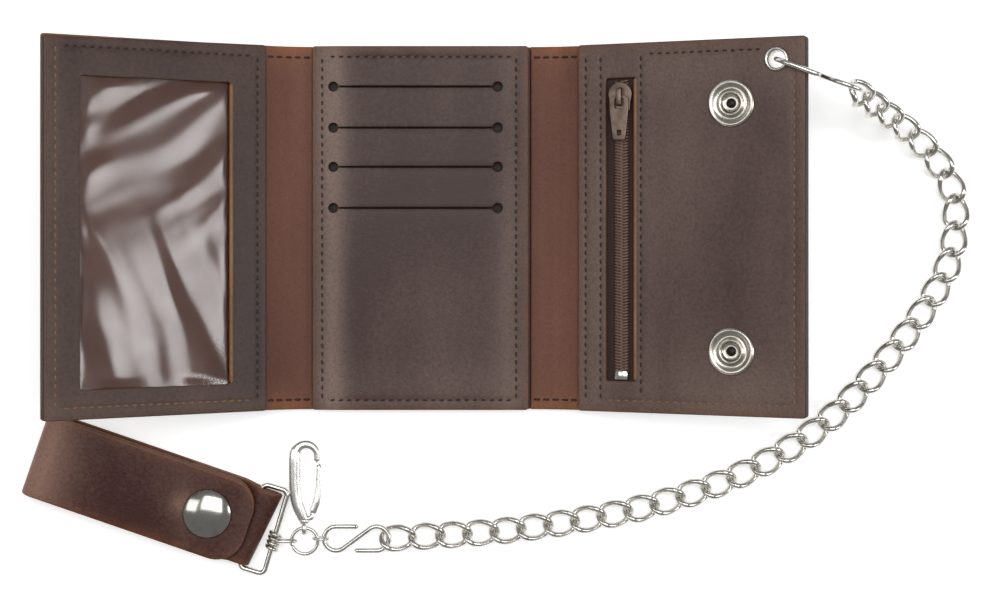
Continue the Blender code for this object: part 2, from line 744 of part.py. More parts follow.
def clip(ring_centre, nickel):
    """A trigger clip: a hooked body with an eye on the ring, and a sprung gate across its mouth."""
    eye = ring_centre + Vector((0.0, JUMP_RADIUS, 0.0))
    body_path = [(0.0, 0.0018), (-0.0008, 0.0038), (-0.0023, 0.0078), (-0.0030, 0.0130), (-0.0031, 0.0205)]
    body_path += arc(0.0004, 0.0228, 0.0035, 165, 15, 8)
    body_path += [(0.0039, 0.0212)]
    widths = [1.1, 1.15, 1.05, 1.0, 1.0] + [1.0 - 0.03 * i for i in range(9)] + [0.65]
    points = [(x, y, 0.0) for x, y in body_path]
    mesh = as_mesh(wire_data("clip_body", points, CLIP_WIRE, scales=widths))
    body = add("clip_body", mesh, nickel, None, at(*eye))
    loop = [(0.0, y, z) for y, z in circle(0.0, 0.0, CLIP_EYE, 16)]
    ring = as_mesh(wire_data("eye", loop, CLIP_EYE_WIRE, cyclic=True))
    boolean(body, cutter("clip_eye", ring, body), "UNION")
    arm = as_mesh(wire_data("arm", [(-0.0006, 0.0027, 0.0), (0.0021, 0.0032, 0.0)], CLIP_ARM))
    boolean(body, cutter("clip_arm", arm, body), "UNION")
    pivot = (0.0026, 0.0050)
    gate_path = [(0.0, 0.0), (0.0012, 0.0035), (0.0017, 0.0080), (0.0019, 0.0147)]
    points = [(x, y, 0.0) for x, y in gate_path]
    gate = wire_data("clip_gate", points, CLIP_GATE_WIRE, scales=[1.1, 1.0, 0.9, 0.8])
    add("clip_gate", gate, nickel, None, at(*eye) @ at(*pivot))


def strap_frame():
    return at(STRAP_X, STRAP_Y, 0.0) @ Matrix.Rotation(STRAP_TURN, 4, "Z")


def ring_frame():
    """The rectangular ring's frame: Y along the bar that the strap's fold holds."""
    height = STRAP_RING_WIRE / 2 + GAP + STRAP_LEATHER
    place = strap_frame() @ at(STRAP_FOLD - BAR_DEPTH, 0.0, height)
    return place @ Matrix.Rotation(STRAP_RING_TURN, 4, "Z")


def strap_ring(ring_centre, nickel):
    """The rectangular wire ring, with the eye that joins it to the round one."""
    local = ring_frame()
    far = STRAP_RING_WIDTH - STRAP_RING_WIRE
    down = (STRAP_RING_LENGTH - STRAP_RING_WIRE) / 2
    points = [local @ Vector((x, y, 0.0)) for x, y in rounded(0.0, far, -down, down, STRAP_RING_CORNER)]
    bar, lean = local @ Vector((far, 0.0, 0.0)), local.to_3x3() @ Vector((0.0, 1.0, 0.0))
    bar_at = bar.x + lean.x / lean.y * (ring_centre.y - bar.y)
    pivot = ring_centre - Vector((JUMP_RADIUS, 0.0, 0.0))
    back = at(*pivot).inverted()
    mesh = as_mesh(wire_data("strap_ring", points, STRAP_RING_WIRE, cyclic=True), back)
    ring = add("strap_ring", mesh, nickel, None, at(*pivot))
    left = bar_at - STRAP_RING_WIRE / 2 - EYE_WIRE / 2 + 2 * BITE
    eye_right = pivot.x + JUMP_WIRE / 2 + GAP + EYE_WIRE / 2
    eye = wire_data("eye", upright_eye(left, eye_right, ring_centre.y, bar.z), EYE_WIRE, cyclic=True)
    boolean(ring, cutter("ring_eye", as_mesh(eye, back), ring), "UNION")


# ---- the belt strap


def necked(mesh):
    """Narrows the strap where it goes through the ring, and turns its fold a little."""
    for point in mesh.vertices:
        share = min(max((point.co.x - NECK_START) / (NECK_END - NECK_START), 0.0), 1.0)
        point.co.y *= 1.0 + share * (NECK_WIDTH / STRAP_WIDTH - 1.0)
        point.co.x += share * NECK_SKEW * point.co.y
    return mesh


def belt_strap(leather, nickel):
    base = frame("strap_axis", strap_frame())
    half = STRAP_LEATHER / 2
    bend = BELT_GAP / 2 + half
    left = STRAP_LEFT + BELT_GAP / 2 + STRAP_LEATHER
    fold = (STRAP_RING_WIRE + STRAP_LEATHER) / 2 + GAP
    layer = STRAP_LEATHER + GAP + half
    fold_x = STRAP_FOLD - fold - half
    path = arc(left, half + bend, bend, 90, 270, 8)
    path += [(NECK_START, half), (NECK_END, half)]
    path += arc(fold_x, half + fold, fold, -90, 90, 6)
    path += smooth_bend((NECK_END, half + 2 * fold), (-1.0, 0.0), (NECK_START, layer), (-1.0, 0.0), 0.002, 4)
    path += [(RETURN_END, layer)]
    mesh = as_mesh(strip_data("belt_strap", path, STRAP_LEATHER, STRAP_WIDTH), ON_EDGE)
    strap = add("belt_strap", necked(mesh), leather, base)
    hole = rod(POST_RADIUS + POST_CLEAR, -0.001, layer + STRAP_LEATHER, STRAP_SNAP_X)
    boolean(strap, cutter("stud_hole", hole, base), "DIFFERENCE")
    under = layer + half
    stud("strap_snap_stud", STRAP_STUD_HEIGHT, under - GAP, nickel, base, at(STRAP_SNAP_X, 0.0, under))
    hinge = frame("strap_flap_axis", at(left, 0.0, half + bend), base)
    flap_low = STRAP_LEATHER + BELT_GAP
    drop = flap_low - half - bend
    x1, wide = FLAP_TIP_X - left, STRAP_WIDTH / 2
    tip = arc(x1 - FLAP_CORNER, -wide + FLAP_CORNER, FLAP_CORNER, -90, 0, 6)
    tip += arc(x1 - FLAP_CORNER, wide - FLAP_CORNER, FLAP_CORNER, 0, 90, 6)
    snap_x = STRAP_SNAP_X - left
    post = circle(snap_x, 0.0, POST_RADIUS + POST_CLEAR)
    plate("strap_flap", [[(GAP, -wide), *tip, (GAP, wide)], post], drop, STRAP_LEATHER, leather, hinge)
    strap_cap(under - flap_low, nickel, hinge, at(snap_x, 0.0, drop))


def strap_cap(under, finish, parent, place):
    """The strap's domed cap, its post through the flap and its socket underneath."""
    well = KNOB_RADIUS + KNOB_CLEAR
    outer = well + SOCKET_WALL
    top = STRAP_LEATHER + GAP
    profile = (
        (0.0, top + CAP_DOME),
        (CAP_RADIUS * 0.46, top + CAP_DOME * 0.87),
        (CAP_RADIUS * 0.83, top + CAP_DOME * 0.45),
        (CAP_RADIUS, top),
        (POST_RADIUS, top),
        (POST_RADIUS, -GAP),
        (outer, -GAP),
        (outer, under + 2 * GAP + STUD_PLATE),
        (well, under + 2 * GAP + STUD_PLATE),
        (well, under + 2 * GAP + STRAP_STUD_HEIGHT),
        (0.0, under + 2 * GAP + STRAP_STUD_HEIGHT),
    )
    turned("strap_snap_cap", profile, finish, parent, place)


def main():
    clear_scene()
    collection(SHAPE)
    collection(CUTTERS, hidden=True)
    leather = material("outer leather", (0.045, 0.026, 0.022), 0.5)
    liner = material("inner leather", (0.075, 0.035, 0.028), 0.55)
    strap_leather = material("strap leather", (0.080, 0.028, 0.022), 0.45)
    clear = material("clear film", (0.80, 0.80, 0.80), 0.15)
    cloth = material("zip tape", (0.012, 0.010, 0.010), 0.9)
    nickel = material("nickel", (0.78, 0.76, 0.72), 0.2, 1.0)
    bronze = material("antique bronze", (0.16, 0.10, 0.07), 0.35, 1.0)
    centre_section(leather, liner)
    left = frame(
        "left_fold_axis", at(-FOLD_OFFSET, 0.0, LEFT_HINGE_Z) @ Matrix.Rotation(LEFT_TILT, 4, "Y")
    )
    right = frame(
        "right_fold_axis", at(FOLD_OFFSET, 0.0, RIGHT_HINGE_Z) @ Matrix.Rotation(-RIGHT_TILT, 4, "Y")
    )
    fold_strip("fold_left", -1, LEFT_HINGE_Z, LEFT_TILT, LEFT_NEAR, leather)
    fold_strip("fold_right", 1, RIGHT_HINGE_Z, RIGHT_TILT, RIGHT_NEAR, leather)
    left_section(left, leather, liner, clear, nickel)
    right_section(right, leather, liner, cloth, nickel)
    zip_slider(right, nickel, bronze)
    joints = chain(nickel)
    wallet_hook(joints, right, nickel)
    ring_wire = strap_hook(joints, nickel)
    ring_centre = jump_ring(ring_wire, nickel)
    clip(ring_centre, nickel)
    strap_ring(ring_centre, nickel)
    belt_strap(strap_leather, nickel)


main()
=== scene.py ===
"""A tri-fold chain wallet in waxed brown leather, with its curb chain, trigger clip and belt strap.

Metres, +Z up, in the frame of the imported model. Each section of the wallet has its own flat
frame, with the section's width along X, and its layers are stacked along Z in that frame.
"""

import json
import math

import bmesh
import bpy
import numpy as np
from mathutils import Matrix, Vector, geometry, noise


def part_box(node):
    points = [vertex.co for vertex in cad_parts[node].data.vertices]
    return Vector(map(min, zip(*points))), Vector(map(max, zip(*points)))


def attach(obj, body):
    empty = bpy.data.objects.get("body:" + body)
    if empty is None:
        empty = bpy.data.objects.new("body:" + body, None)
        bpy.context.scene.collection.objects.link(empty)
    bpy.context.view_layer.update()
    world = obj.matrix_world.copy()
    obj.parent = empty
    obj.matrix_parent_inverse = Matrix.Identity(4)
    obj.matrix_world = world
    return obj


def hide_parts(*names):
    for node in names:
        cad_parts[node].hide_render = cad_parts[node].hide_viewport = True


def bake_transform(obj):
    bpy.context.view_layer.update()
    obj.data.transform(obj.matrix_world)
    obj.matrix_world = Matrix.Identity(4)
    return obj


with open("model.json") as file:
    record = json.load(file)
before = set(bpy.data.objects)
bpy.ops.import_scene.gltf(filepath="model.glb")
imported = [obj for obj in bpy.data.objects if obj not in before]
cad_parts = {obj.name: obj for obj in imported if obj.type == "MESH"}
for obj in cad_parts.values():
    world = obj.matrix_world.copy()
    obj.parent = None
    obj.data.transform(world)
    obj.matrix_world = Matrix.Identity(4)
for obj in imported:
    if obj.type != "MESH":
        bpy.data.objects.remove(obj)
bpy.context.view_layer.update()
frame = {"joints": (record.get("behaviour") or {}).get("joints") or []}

MM = 0.001

# ---- the wallet's flat sections, in metres
HALF_HEIGHT = 0.05715
FOLD_OFFSET = 0.0413
COVER = 0.0014
CENTRE_EDGE = 0.0343
CARD_EDGE = 0.0335
CARD_LOW = 0.0017
CARD_TOP = 0.0052
CARD_LEATHER = 0.0015
LEFT_NEAR, LEFT_FAR, LEFT_STACK = 0.0076, 0.0778, 0.0037
RIGHT_NEAR, RIGHT_FAR, RIGHT_STACK = 0.0068, 0.0787, 0.0044
LEFT_HINGE_Z, RIGHT_HINGE_Z = 0.0046, 0.0081
LEFT_TILT, RIGHT_TILT = math.radians(30), math.radians(-22)
FOLD_LEATHER = 0.0024
CORNER = 0.0009
SEAM_INSET = 0.0036

FLAT = Matrix.Identity(4)
LEFT = Matrix.Translation((-FOLD_OFFSET, 0, LEFT_HINGE_Z)) @ Matrix.Rotation(LEFT_TILT, 4, "Y")
RIGHT = Matrix.Translation((FOLD_OFFSET, 0, RIGHT_HINGE_Z)) @ Matrix.Rotation(RIGHT_TILT, 4, "Y")
LEFT_LOW, RIGHT_LOW = -LEFT_HINGE_Z, -RIGHT_HINGE_Z

WINDOW = (-0.0670, -0.0189, -0.04835, 0.04495)
ZIP_OPENING = (0.0159, 0.0256, -0.0475, 0.0465)
SLIT_ROWS = (0.0444, 0.0315, 0.0192, 0.0063)
SLIT_ENDS = (-0.0277, 0.0239)
SNAP_U, SNAP_Y = 0.05605, 0.0375
STUD_U = 2 * FOLD_OFFSET - SNAP_U
EYELET_U, EYELET_Y = 0.0699, 0.0504

joint_at = {j["name"]: Vector(j.get("pos_m", (0.0, 0.0, 0.0))) for j in frame["joints"]}


# ======================================================================= finishes


def effect(name, takes, gives):
    """An empty node group with named sockets, and short ways to fill it."""
    group = bpy.data.node_groups.new(name, "ShaderNodeTree")
    for label, kind, value in takes:
        socket = group.interface.new_socket(label, in_out="INPUT", socket_type=kind)
        socket.default_value = value
    for label, kind in gives:
        group.interface.new_socket(label, in_out="OUTPUT", socket_type=kind)
    return group, group.nodes.new("NodeGroupInput"), group.nodes.new("NodeGroupOutput")


def fill(tree, made, values):
    """Sets a node's inputs. A socket is linked to its input, and anything else is the input's value."""
    for key, value in values.items():
        if isinstance(value, bpy.types.NodeSocket):
            tree.links.new(value, made.inputs[key])
        else:
            made.inputs[key].default_value = value
    return made


def node(tree, kind, values=None, **settings):
    made = tree.nodes.new(kind)
    for key, value in settings.items():
        setattr(made, key, value)
    return fill(tree, made, values or {})


def maths(tree, operation, a, b, clamp=False):
    made = node(tree, "ShaderNodeMath", {0: a, 1: b}, operation=operation)
    made.use_clamp = clamp
    return made.outputs[0]


def mixed(tree, share, a, b, blend="MIX"):
    """Two colours mixed by a share."""
    made = node(tree, "ShaderNodeMix", data_type="RGBA", blend_type=blend)
    return fill(tree, made, {0: share, 6: a, 7: b}).outputs[2]


def object_place(tree):
    return tree.nodes.new("ShaderNodeTexCoord").outputs["Object"]


def noisy(tree, place, scale, detail):
    return node(tree, "ShaderNodeTexNoise", {"Vector": place, "Scale": scale, "Detail": detail})


def spread(tree, value, low, high, to_low=0.0, to_high=1.0):
    values = {"Value": value, "From Min": low, "From Max": high, "To Min": to_low, "To Max": to_high}
    return node(tree, "ShaderNodeMapRange", values).outputs[0]


def grain_effect():
    """Hide grain: fine pebbles, and pores between them."""
    takes = (("Pebbles", "NodeSocketFloat", 1400.0), ("Creases", "NodeSocketFloat", 220.0))
    gives = (("Height", "NodeSocketFloat"), ("Pores", "NodeSocketFloat"))
    group, given, result = effect("hide grain", takes, gives)
    place = object_place(group)
    warp = noisy(group, place, 300.0, 2.0)
    bent = mixed(group, 0.0016, place, warp.outputs["Color"], "ADD")
    cells = node(group, "ShaderNodeTexVoronoi", {"Vector": bent, "Scale": given.outputs[0]}, feature="F1")
    folds = noisy(group, place, given.outputs[1], 5.0)
    pebble = spread(group, cells.outputs["Distance"], 0.15, 0.75, 1.0, 0.0)
    height = maths(group, "ADD", maths(group, "MULTIPLY", pebble, 0.3), folds.outputs[0])
    fill(group, result, {"Height": height, "Pores": spread(group, cells.outputs["Distance"], 0.45, 0.8)})
    return group


def cloud_effect():
    """Pull-up leather: slow clouds where the wax has moved, from a dark tone to a light one.

    A mesh attribute lightens the tone where it is set: in places a painted highlight, elsewhere plain lighter
    patches.
    """
    takes = (
        ("Dark", "NodeSocketColor", (0.03, 0.02, 0.016, 1)),
        ("Light", "NodeSocketColor", (0.06, 0.04, 0.03, 1)),
        ("Size", "NodeSocketFloat", 28.0),
        ("Fleck", "NodeSocketFloat", 0.4),
    )
    gives = (("Colour", "NodeSocketColor"), ("Cloud", "NodeSocketFloat"))
    group, given, result = effect("wax clouds", takes, gives)
    place = object_place(group)
    stretched = node(group, "ShaderNodeMapping", {"Vector": place, "Scale": (1.0, 0.45, 1.0)}).outputs[0]
    slow = noisy(group, stretched, given.outputs["Size"], 6.0)
    fine = noisy(group, place, 900.0, 3.0)
    sheen_and_lightening = node(group, "ShaderNodeAttribute", attribute_name="sheen_and_lightening").outputs["Fac"]
    share = maths(group, "ADD", spread(group, slow.outputs[0], 0.32, 0.68, 0.0, 0.40), sheen_and_lightening)
    speck = maths(group, "MULTIPLY", maths(group, "SUBTRACT", fine.outputs[0], 0.5), given.outputs["Fleck"])
    share = maths(group, "ADD", share, speck, clamp=True)
    tone = mixed(group, share, given.outputs["Dark"], given.outputs["Light"])
    fill(group, result, {"Colour": tone, "Cloud": share})
    return group


def rubbed_edge_effect():
    """Edge wear: an uneven band of another tone, where the mesh attribute "rim" nears 1."""
    takes = (
        ("Colour", "NodeSocketColor", (0.05, 0.03, 0.02, 1)),
        ("Rubbed", "NodeSocketColor", (0.16, 0.07, 0.03, 1)),
        ("Amount", "NodeSocketFloat", 0.8),
    )
    gives = (("Colour", "NodeSocketColor"), ("Wear", "NodeSocketFloat"))
    group, given, result = effect("rubbed edges", takes, gives)
    rim = node(group, "ShaderNodeAttribute", attribute_name="rim").outputs["Fac"]
    place = object_place(group)
    patchy = noisy(group, place, 160.0, 4.0)
    uneven = spread(group, patchy.outputs[0], 0.3, 0.7, 0.35, 1.0)
    wear = maths(group, "MULTIPLY", maths(group, "MULTIPLY", rim, uneven), given.outputs["Amount"], clamp=True)
    tone = mixed(group, wear, given.outputs["Colour"], given.outputs["Rubbed"])
    fill(group, result, {"Colour": tone, "Wear": wear})
    return group


def handling_effect():
    """Fine hairlines and dull patches that handling leaves on plated metal."""
    takes = (("Polish", "NodeSocketFloat", 0.16), ("Dulling", "NodeSocketFloat", 0.12))
    gives = (("Roughness", "NodeSocketFloat"), ("Height", "NodeSocketFloat"), ("Tarnish", "NodeSocketFloat"))
    group, given, result = effect("handled metal", takes, gives)
    place = object_place(group)
    smear = noisy(group, place, 350.0, 3.0)
    hair = noisy(group, place, 2600.0, 2.0)
    dull = maths(group, "MULTIPLY", smear.outputs[0], given.outputs["Dulling"])
    rough = maths(group, "ADD", dull, given.outputs["Polish"])
    tarnish = spread(group, smear.outputs[0], 0.45, 0.75)
    fill(group, result, {"Roughness": rough, "Height": hair.outputs[0], "Tarnish": tarnish})
    return group


GRAIN, CLOUDS, RUBBED, HANDLED = grain_effect(), cloud_effect(), rubbed_edge_effect(), handling_effect()


def placed(tree, group, values):
    made = node(tree, "ShaderNodeGroup")
    made.node_tree = group
    return fill(tree, made, values)


def colour(red, green, blue):
    return (red, green, blue, 1.0)


def new_finish(name):
    """A new material, its node tree and its shader."""
    made = bpy.data.materials.new(name)
    made.use_nodes = True
    return made, made.node_tree, made.node_tree.nodes["Principled BSDF"]


def bumped(tree, shader, strength, distance, height):
    bump = node(tree, "ShaderNodeBump", {"Strength": strength, "Distance": distance, "Height": height})
    fill(tree, shader, {"Normal": bump.outputs[0]})


def leather(
    name, dark, light, rubbed, wear=0.8, pebbles=1400.0, depth=0.25, rough=(0.42, 0.6), fleck=0.4, size=28.0,
):
    """Waxed leather: clouds from dark to light, rubbed edges, and pebbles with darker pores."""
    made, tree, shader = new_finish(name)
    tones = {"Dark": colour(*dark), "Light": colour(*light), "Fleck": fleck, "Size": size}
    clouds = placed(tree, CLOUDS, tones)
    grain = placed(tree, GRAIN, {"Pebbles": pebbles, "Creases": 220.0})
    rub = {"Colour": clouds.outputs["Colour"], "Rubbed": colour(*rubbed), "Amount": wear}
    edges = placed(tree, RUBBED, rub)
    in_pores = maths(tree, "MULTIPLY", grain.outputs["Pores"], 0.22)
    pored = mixed(tree, in_pores, edges.outputs["Colour"], colour(*[channel * 0.4 for channel in dark]))
    roughness = spread(tree, clouds.outputs["Cloud"], 0.0, 1.0, *rough)
    fill(tree, shader, {"Base Color": pored, "Roughness": roughness, "Specular IOR Level": 0.28})
    bumped(tree, shader, depth, 0.00025, grain.outputs["Height"])
    return made


def plated(name, base, tarnished, polish=0.16, dulling=0.12, depth=0.02):
    """Plated metal with the marks of handling."""
    made, tree, shader = new_finish(name)
    handled = placed(tree, HANDLED, {"Polish": polish, "Dulling": dulling})
    tone = mixed(tree, handled.outputs["Tarnish"], colour(*base), colour(*tarnished))
    fill(tree, shader, {"Base Color": tone, "Roughness": handled.outputs["Roughness"], "Metallic": 1.0})
    bumped(tree, shader, depth, 0.0002, handled.outputs["Height"])
    return made


def thread_finish(name, dark, light):
    """Waxed thread: twisted strands that run round it."""
    made, tree, shader = new_finish(name)
    twist = {"Vector": object_place(tree), "Scale": 1500.0, "Distortion": 2.0}
    strands = node(tree, "ShaderNodeTexWave", twist, bands_direction="DIAGONAL").outputs["Fac"]
    fill(tree, shader, {"Base Color": mixed(tree, strands, colour(*dark), colour(*light)), "Roughness": 0.55})
    bumped(tree, shader, 0.4, 0.0001, strands)
    return made


def cloth_finish():
    """Zip tape: a close ribbed weave."""
    made, tree, shader = new_finish("woven zip tape")
    place = object_place(tree)
    ribs = []
    for scale, direction in ((900.0, "X"), (700.0, "Y")):
        rib = {"Vector": place, "Scale": scale, "Distortion": 0.4}
        ribs.append(node(tree, "ShaderNodeTexWave", rib, bands_direction=direction).outputs["Fac"])
    weave = maths(tree, "MULTIPLY", *ribs)
    tone = mixed(tree, weave, colour(0.030, 0.015, 0.012), colour(0.090, 0.047, 0.037))
    fill(tree, shader, {"Base Color": tone, "Roughness": 0.85})
    bumped(tree, shader, 0.6, 0.0002, weave)
    return made


def coil_finish():
    """The zip's nylon coil: dyed brown, with a slight shine and uneven dye."""
    made, tree, shader = new_finish("nylon coil")
    dye = noisy(tree, object_place(tree), 240.0, 4.0).outputs[0]
    tone = mixed(tree, dye, colour(0.115, 0.062, 0.046), colour(0.22, 0.130, 0.098))
    fill(tree, shader, {"Base Color": tone, "Roughness": spread(tree, dye, 0.3, 0.7, 0.3, 0.45)})
    return made


def film_finish():
    """Clear vinyl with a little haze and soft dimples."""
    made, tree, shader = new_finish("clear vinyl")
    haze = noisy(tree, object_place(tree), 60.0, 3.0).outputs[0]
    tone = mixed(tree, haze, colour(0.92, 0.90, 0.90), colour(1.0, 0.99, 0.99))
    fill(tree, shader, {"Base Color": tone, "Roughness": spread(tree, haze, 0.3, 0.7, 0.15, 0.22)})
    fill(tree, shader, {"IOR": 1.5, "Transmission Weight": 1.0})
    bumped(tree, shader, 0.15, 0.0003, haze)
    return made


OUTER = leather("waxed outer leather", (0.046, 0.024, 0.019), (0.095, 0.050, 0.036), (0.150, 0.066, 0.034))
INNER = leather("waxed inner leather", (0.048, 0.021, 0.018), (0.215, 0.150, 0.125), (0.170, 0.078, 0.042))
WINDOW_HIDE = leather(
    "pebbled window leather", (0.046, 0.028, 0.026), (0.155, 0.098, 0.077), (0.110, 0.052, 0.034),
    wear=0.55, pebbles=1000.0, depth=0.45,
)
LINER = leather(
    "smooth fold leather", (0.112, 0.041, 0.027), (0.270, 0.115, 0.074), (0.33, 0.125, 0.045),
    wear=0.9, pebbles=1800.0, depth=0.12, rough=(0.55, 0.7), fleck=0.2,
)
CUT_EDGE = leather(
    "cut leather edge", (0.110, 0.050, 0.026), (0.26, 0.135, 0.070), (0.24, 0.120, 0.060),
    wear=0.5, pebbles=2600.0, depth=0.5, rough=(0.6, 0.8), fleck=0.8, size=90.0,
)
RAW_EDGE = leather(
    "raw tan edge", (0.22, 0.105, 0.050), (0.42, 0.235, 0.125), (0.36, 0.19, 0.10),
    wear=0.4, pebbles=2600.0, depth=0.4, rough=(0.6, 0.8), fleck=0.8, size=90.0,
)
# Dark leather for dyed edges; laid all over the card pocket's lining it is painted shade at the bottom of the
# slits
DARK_EDGE = leather(
    "dyed leather edge and painted slit shade", (0.016, 0.008, 0.006), (0.046, 0.024, 0.015), (0.05, 0.026, 0.015),
    wear=0.3, pebbles=2600.0, depth=0.4, rough=(0.5, 0.7), fleck=0.6, size=60.0,
)
STRAP = leather(
    "waxed strap leather", (0.042, 0.0075, 0.005), (0.260, 0.145, 0.108), (0.24, 0.090, 0.040),
    wear=0.7, pebbles=1500.0, depth=0.2, rough=(0.36, 0.5),
)
STRAP_BACK = leather(
    "strap flesh side", (0.12, 0.042, 0.022), (0.19, 0.075, 0.042), (0.21, 0.10, 0.052),
    wear=0.5, pebbles=2200.0, depth=0.5, rough=(0.65, 0.8), fleck=0.6,
)
DARK_THREAD = thread_finish("dark waxed thread", (0.009, 0.004, 0.003), (0.030, 0.015, 0.010))
TAN_THREAD = thread_finish("brown waxed thread", (0.120, 0.060, 0.028), (0.28, 0.155, 0.080))
ZIP_CLOTH = cloth_finish()
COIL = coil_finish()
VINYL = film_finish()
NICKEL = plated("bright nickel", (0.72, 0.705, 0.665), (0.52, 0.50, 0.45))
CLIP_NICKEL = plated("polished clip nickel", (0.90, 0.885, 0.86), (0.80, 0.78, 0.74), 0.2)
SOFT_NICKEL = plated("stamped nickel", (0.62, 0.585, 0.52), (0.44, 0.40, 0.34), 0.2, 0.16)
CAP_NICKEL = plated("pressed cap nickel", (0.50, 0.49, 0.45), (0.40, 0.39, 0.35), 0.13, 0.05)
BRONZE = plated("brown plated metal", (0.185, 0.135, 0.110), (0.115, 0.080, 0.062), 0.34, 0.2, 0.05)
# Dark metal for painted shade at the bottom of the socket wells
DARK_HOLE = plated("painted well shade metal", (0.05, 0.045, 0.04), (0.03, 0.025, 0.02), 0.45, 0.2)


# ======================================================================= meshes


def piece(
    name, points, faces, finishes, body=None, slot=None, replaces=(), face_finish=None, rim=None, sheen_and_lightening=None,
):
    """A mesh object in the frame of the model. It rides on its body, unless that is None.

    face_finish numbers each face's finish. rim gives each point's share of edge wear, and the last argument its
    lightening, which is partly painted highlight.
    """
    mesh = bpy.data.meshes.new(name)
    mesh.from_pydata([tuple(p) for p in points], [], faces)
    for finish in finishes:
        mesh.materials.append(finish)
    if face_finish is not None:
        mesh.polygons.foreach_set("material_index", np.asarray(face_finish, np.int32))
    for label, values in (("rim", rim), ("sheen_and_lightening", sheen_and_lightening)):
        if values is not None:
            attribute = mesh.attributes.new(label, "FLOAT", "POINT")
            attribute.data.foreach_set("value", np.asarray(values, np.float32))
    mesh.polygons.foreach_set("use_smooth", [True] * len(mesh.polygons))
    work = bmesh.new()
    work.from_mesh(mesh)
    bmesh.ops.recalc_face_normals(work, faces=work.faces)
    work.to_mesh(mesh)
    work.free()
    made = bpy.data.objects.new(name, mesh)
    bpy.context.scene.collection.objects.link(made)
    if body:
        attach(made, body)
    if replaces:
        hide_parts(*replaces)
    return made


def joined(parts):
    """Several (points, faces) as one."""
    points, faces = [], []
    for some_points, some_faces in parts:
        start = len(points)
        points += [tuple(p) for p in some_points]
        faces += [[i + start for i in face] for face in some_faces]
    return points, faces


def moved(points, place):
    return [tuple(place @ Vector(p)) for p in points]


def arc(x, y, radius, start, end, steps):
    angles = (math.radians(start + (end - start) * i / steps) for i in range(steps + 1))
    return [(x + radius * math.cos(a), y + radius * math.sin(a)) for a in angles]


def ring_of(x, y, radius, steps=36):
    return arc(x, y, radius, 0, 360, steps)[:-1]


def rounded(x0, x1, y0, y1, radius, steps=6):
    corners = ((x1, y0, 1, -1, -90), (x1, y1, 1, 1, 0), (x0, y1, -1, 1, 90), (x0, y0, -1, -1, 180))
    points = []
    for x, y, side, rise, start in corners:
        points += arc(x - side * radius, y - rise * radius, radius, start, start + 90, steps)
    return points


def dumbbell(x0, x1, y, width, hole):
    """A slit with a punched hole at each end."""
    half = math.degrees(math.asin(width / hole))
    return arc(x1, y, hole / 2, half - 180, 180 - half, 20) + arc(x0, y, hole / 2, half, 360 - half, 20)


def evenly(line, step):
    """The same line with no stretch longer than a step."""
    out = []
    for a, b in zip(line, line[1:]):
        count = max(1, math.ceil(math.dist(a, b) / step))
        out += [(a[0] + (b[0] - a[0]) * i / count, a[1] + (b[1] - a[1]) * i / count) for i in range(count)]
    return [*out, line[-1]]


def closely(loop, step):
    """The same closed outline with no side longer than a step."""
    return evenly([*loop, loop[0]], step)[:-1]


def border_of(wide, tall):
    """The border's sides, in order, of a grid of points numbered row by row."""
    border = list(range(wide)) + [j * wide + wide - 1 for j in range(1, tall)]
    border += [(tall - 1) * wide + i for i in range(wide - 2, -1, -1)]
    border += [j * wide for j in range(tall - 2, 0, -1)]
    return list(zip(border, border[1:] + border[:1]))


def sides_of(loops):
    starts = np.concatenate([np.array(loop) for loop in loops])
    ends = np.concatenate([np.roll(np.array(loop), -1, axis=0) for loop in loops])
    return starts, ends


def distance_to(points, starts, ends):
    """How far each point is from the nearest of these line segments."""
    best = np.full(len(points), 1e9)
    along = ends - starts
    length = np.maximum((along**2).sum(1), 1e-18)
    for start in range(0, len(points), 2000):
        some = points[start : start + 2000, None, :]
        share = np.clip(((some - starts) * along).sum(2) / length, 0, 1)
        near = starts + share[..., None] * along
        best[start : start + 2000] = np.sqrt(((some - near) ** 2).sum(2)).min(1)
    return best


def inside(points, starts, ends):
    """Even-odd test of points against all the loops together."""
    x, y = points[:, 0, None], points[:, 1, None]
    crosses = (starts[:, 1] > y) != (ends[:, 1] > y)
    with np.errstate(divide="ignore", invalid="ignore"):
        at = starts[:, 0] + (y - starts[:, 1]) * (ends[:, 0] - starts[:, 0]) / (ends[:, 1] - starts[:, 1])
    return (crosses & (x < at)).sum(1) % 2 == 1


GROOVE_DEPTH, GROOVE_WIDTH = 0.00022, 0.0006
GROOVE_BAND = 0.0011
RIM_REACH = 0.0016
FACE, BACK, OUTLINE_CUT, HOLE_CUT = range(4)


def edge_points(loops, starts, ends, edge):
    """Points in a few rows just inside each outline, which carry the rounded edge."""
    rows = []
    for loop in loops:
        ring = np.array(loop)
        way = np.roll(ring, -1, 0) - np.roll(ring, 1, 0)
        way /= np.maximum(np.linalg.norm(way, axis=1, keepdims=True), 1e-12)
        normal = np.stack([-way[:, 1], way[:, 0]], 1)
        for side in (-1, 1):
            for share in (0.13, 0.5, 1.0):
                found = ring + side * normal * edge * share
                near = distance_to(found, starts, ends)
                rows.append(found[(near > edge * share * 0.93) & inside(found, starts, ends)])
    return rows


def groove_points(grooves, starts, ends, edge, step):
    """Points in five close rows along each seam, which carry its pressed groove."""
    rows = []
    for a, b in grooves:
        a, b = np.array(a), np.array(b)
        way = (b - a) / np.linalg.norm(b - a)
        across = np.array([-way[1], way[0]])
        steps = np.arange(0, np.linalg.norm(b - a), step * 0.8)
        for shift in (-0.0008, -0.0004, 0.0, 0.0004, 0.0008):
            found = a + way * steps[:, None] + across * shift
            near = distance_to(found, starts, ends)
            rows.append(found[(near > edge * 1.3) & inside(found, starts, ends)])
    return rows


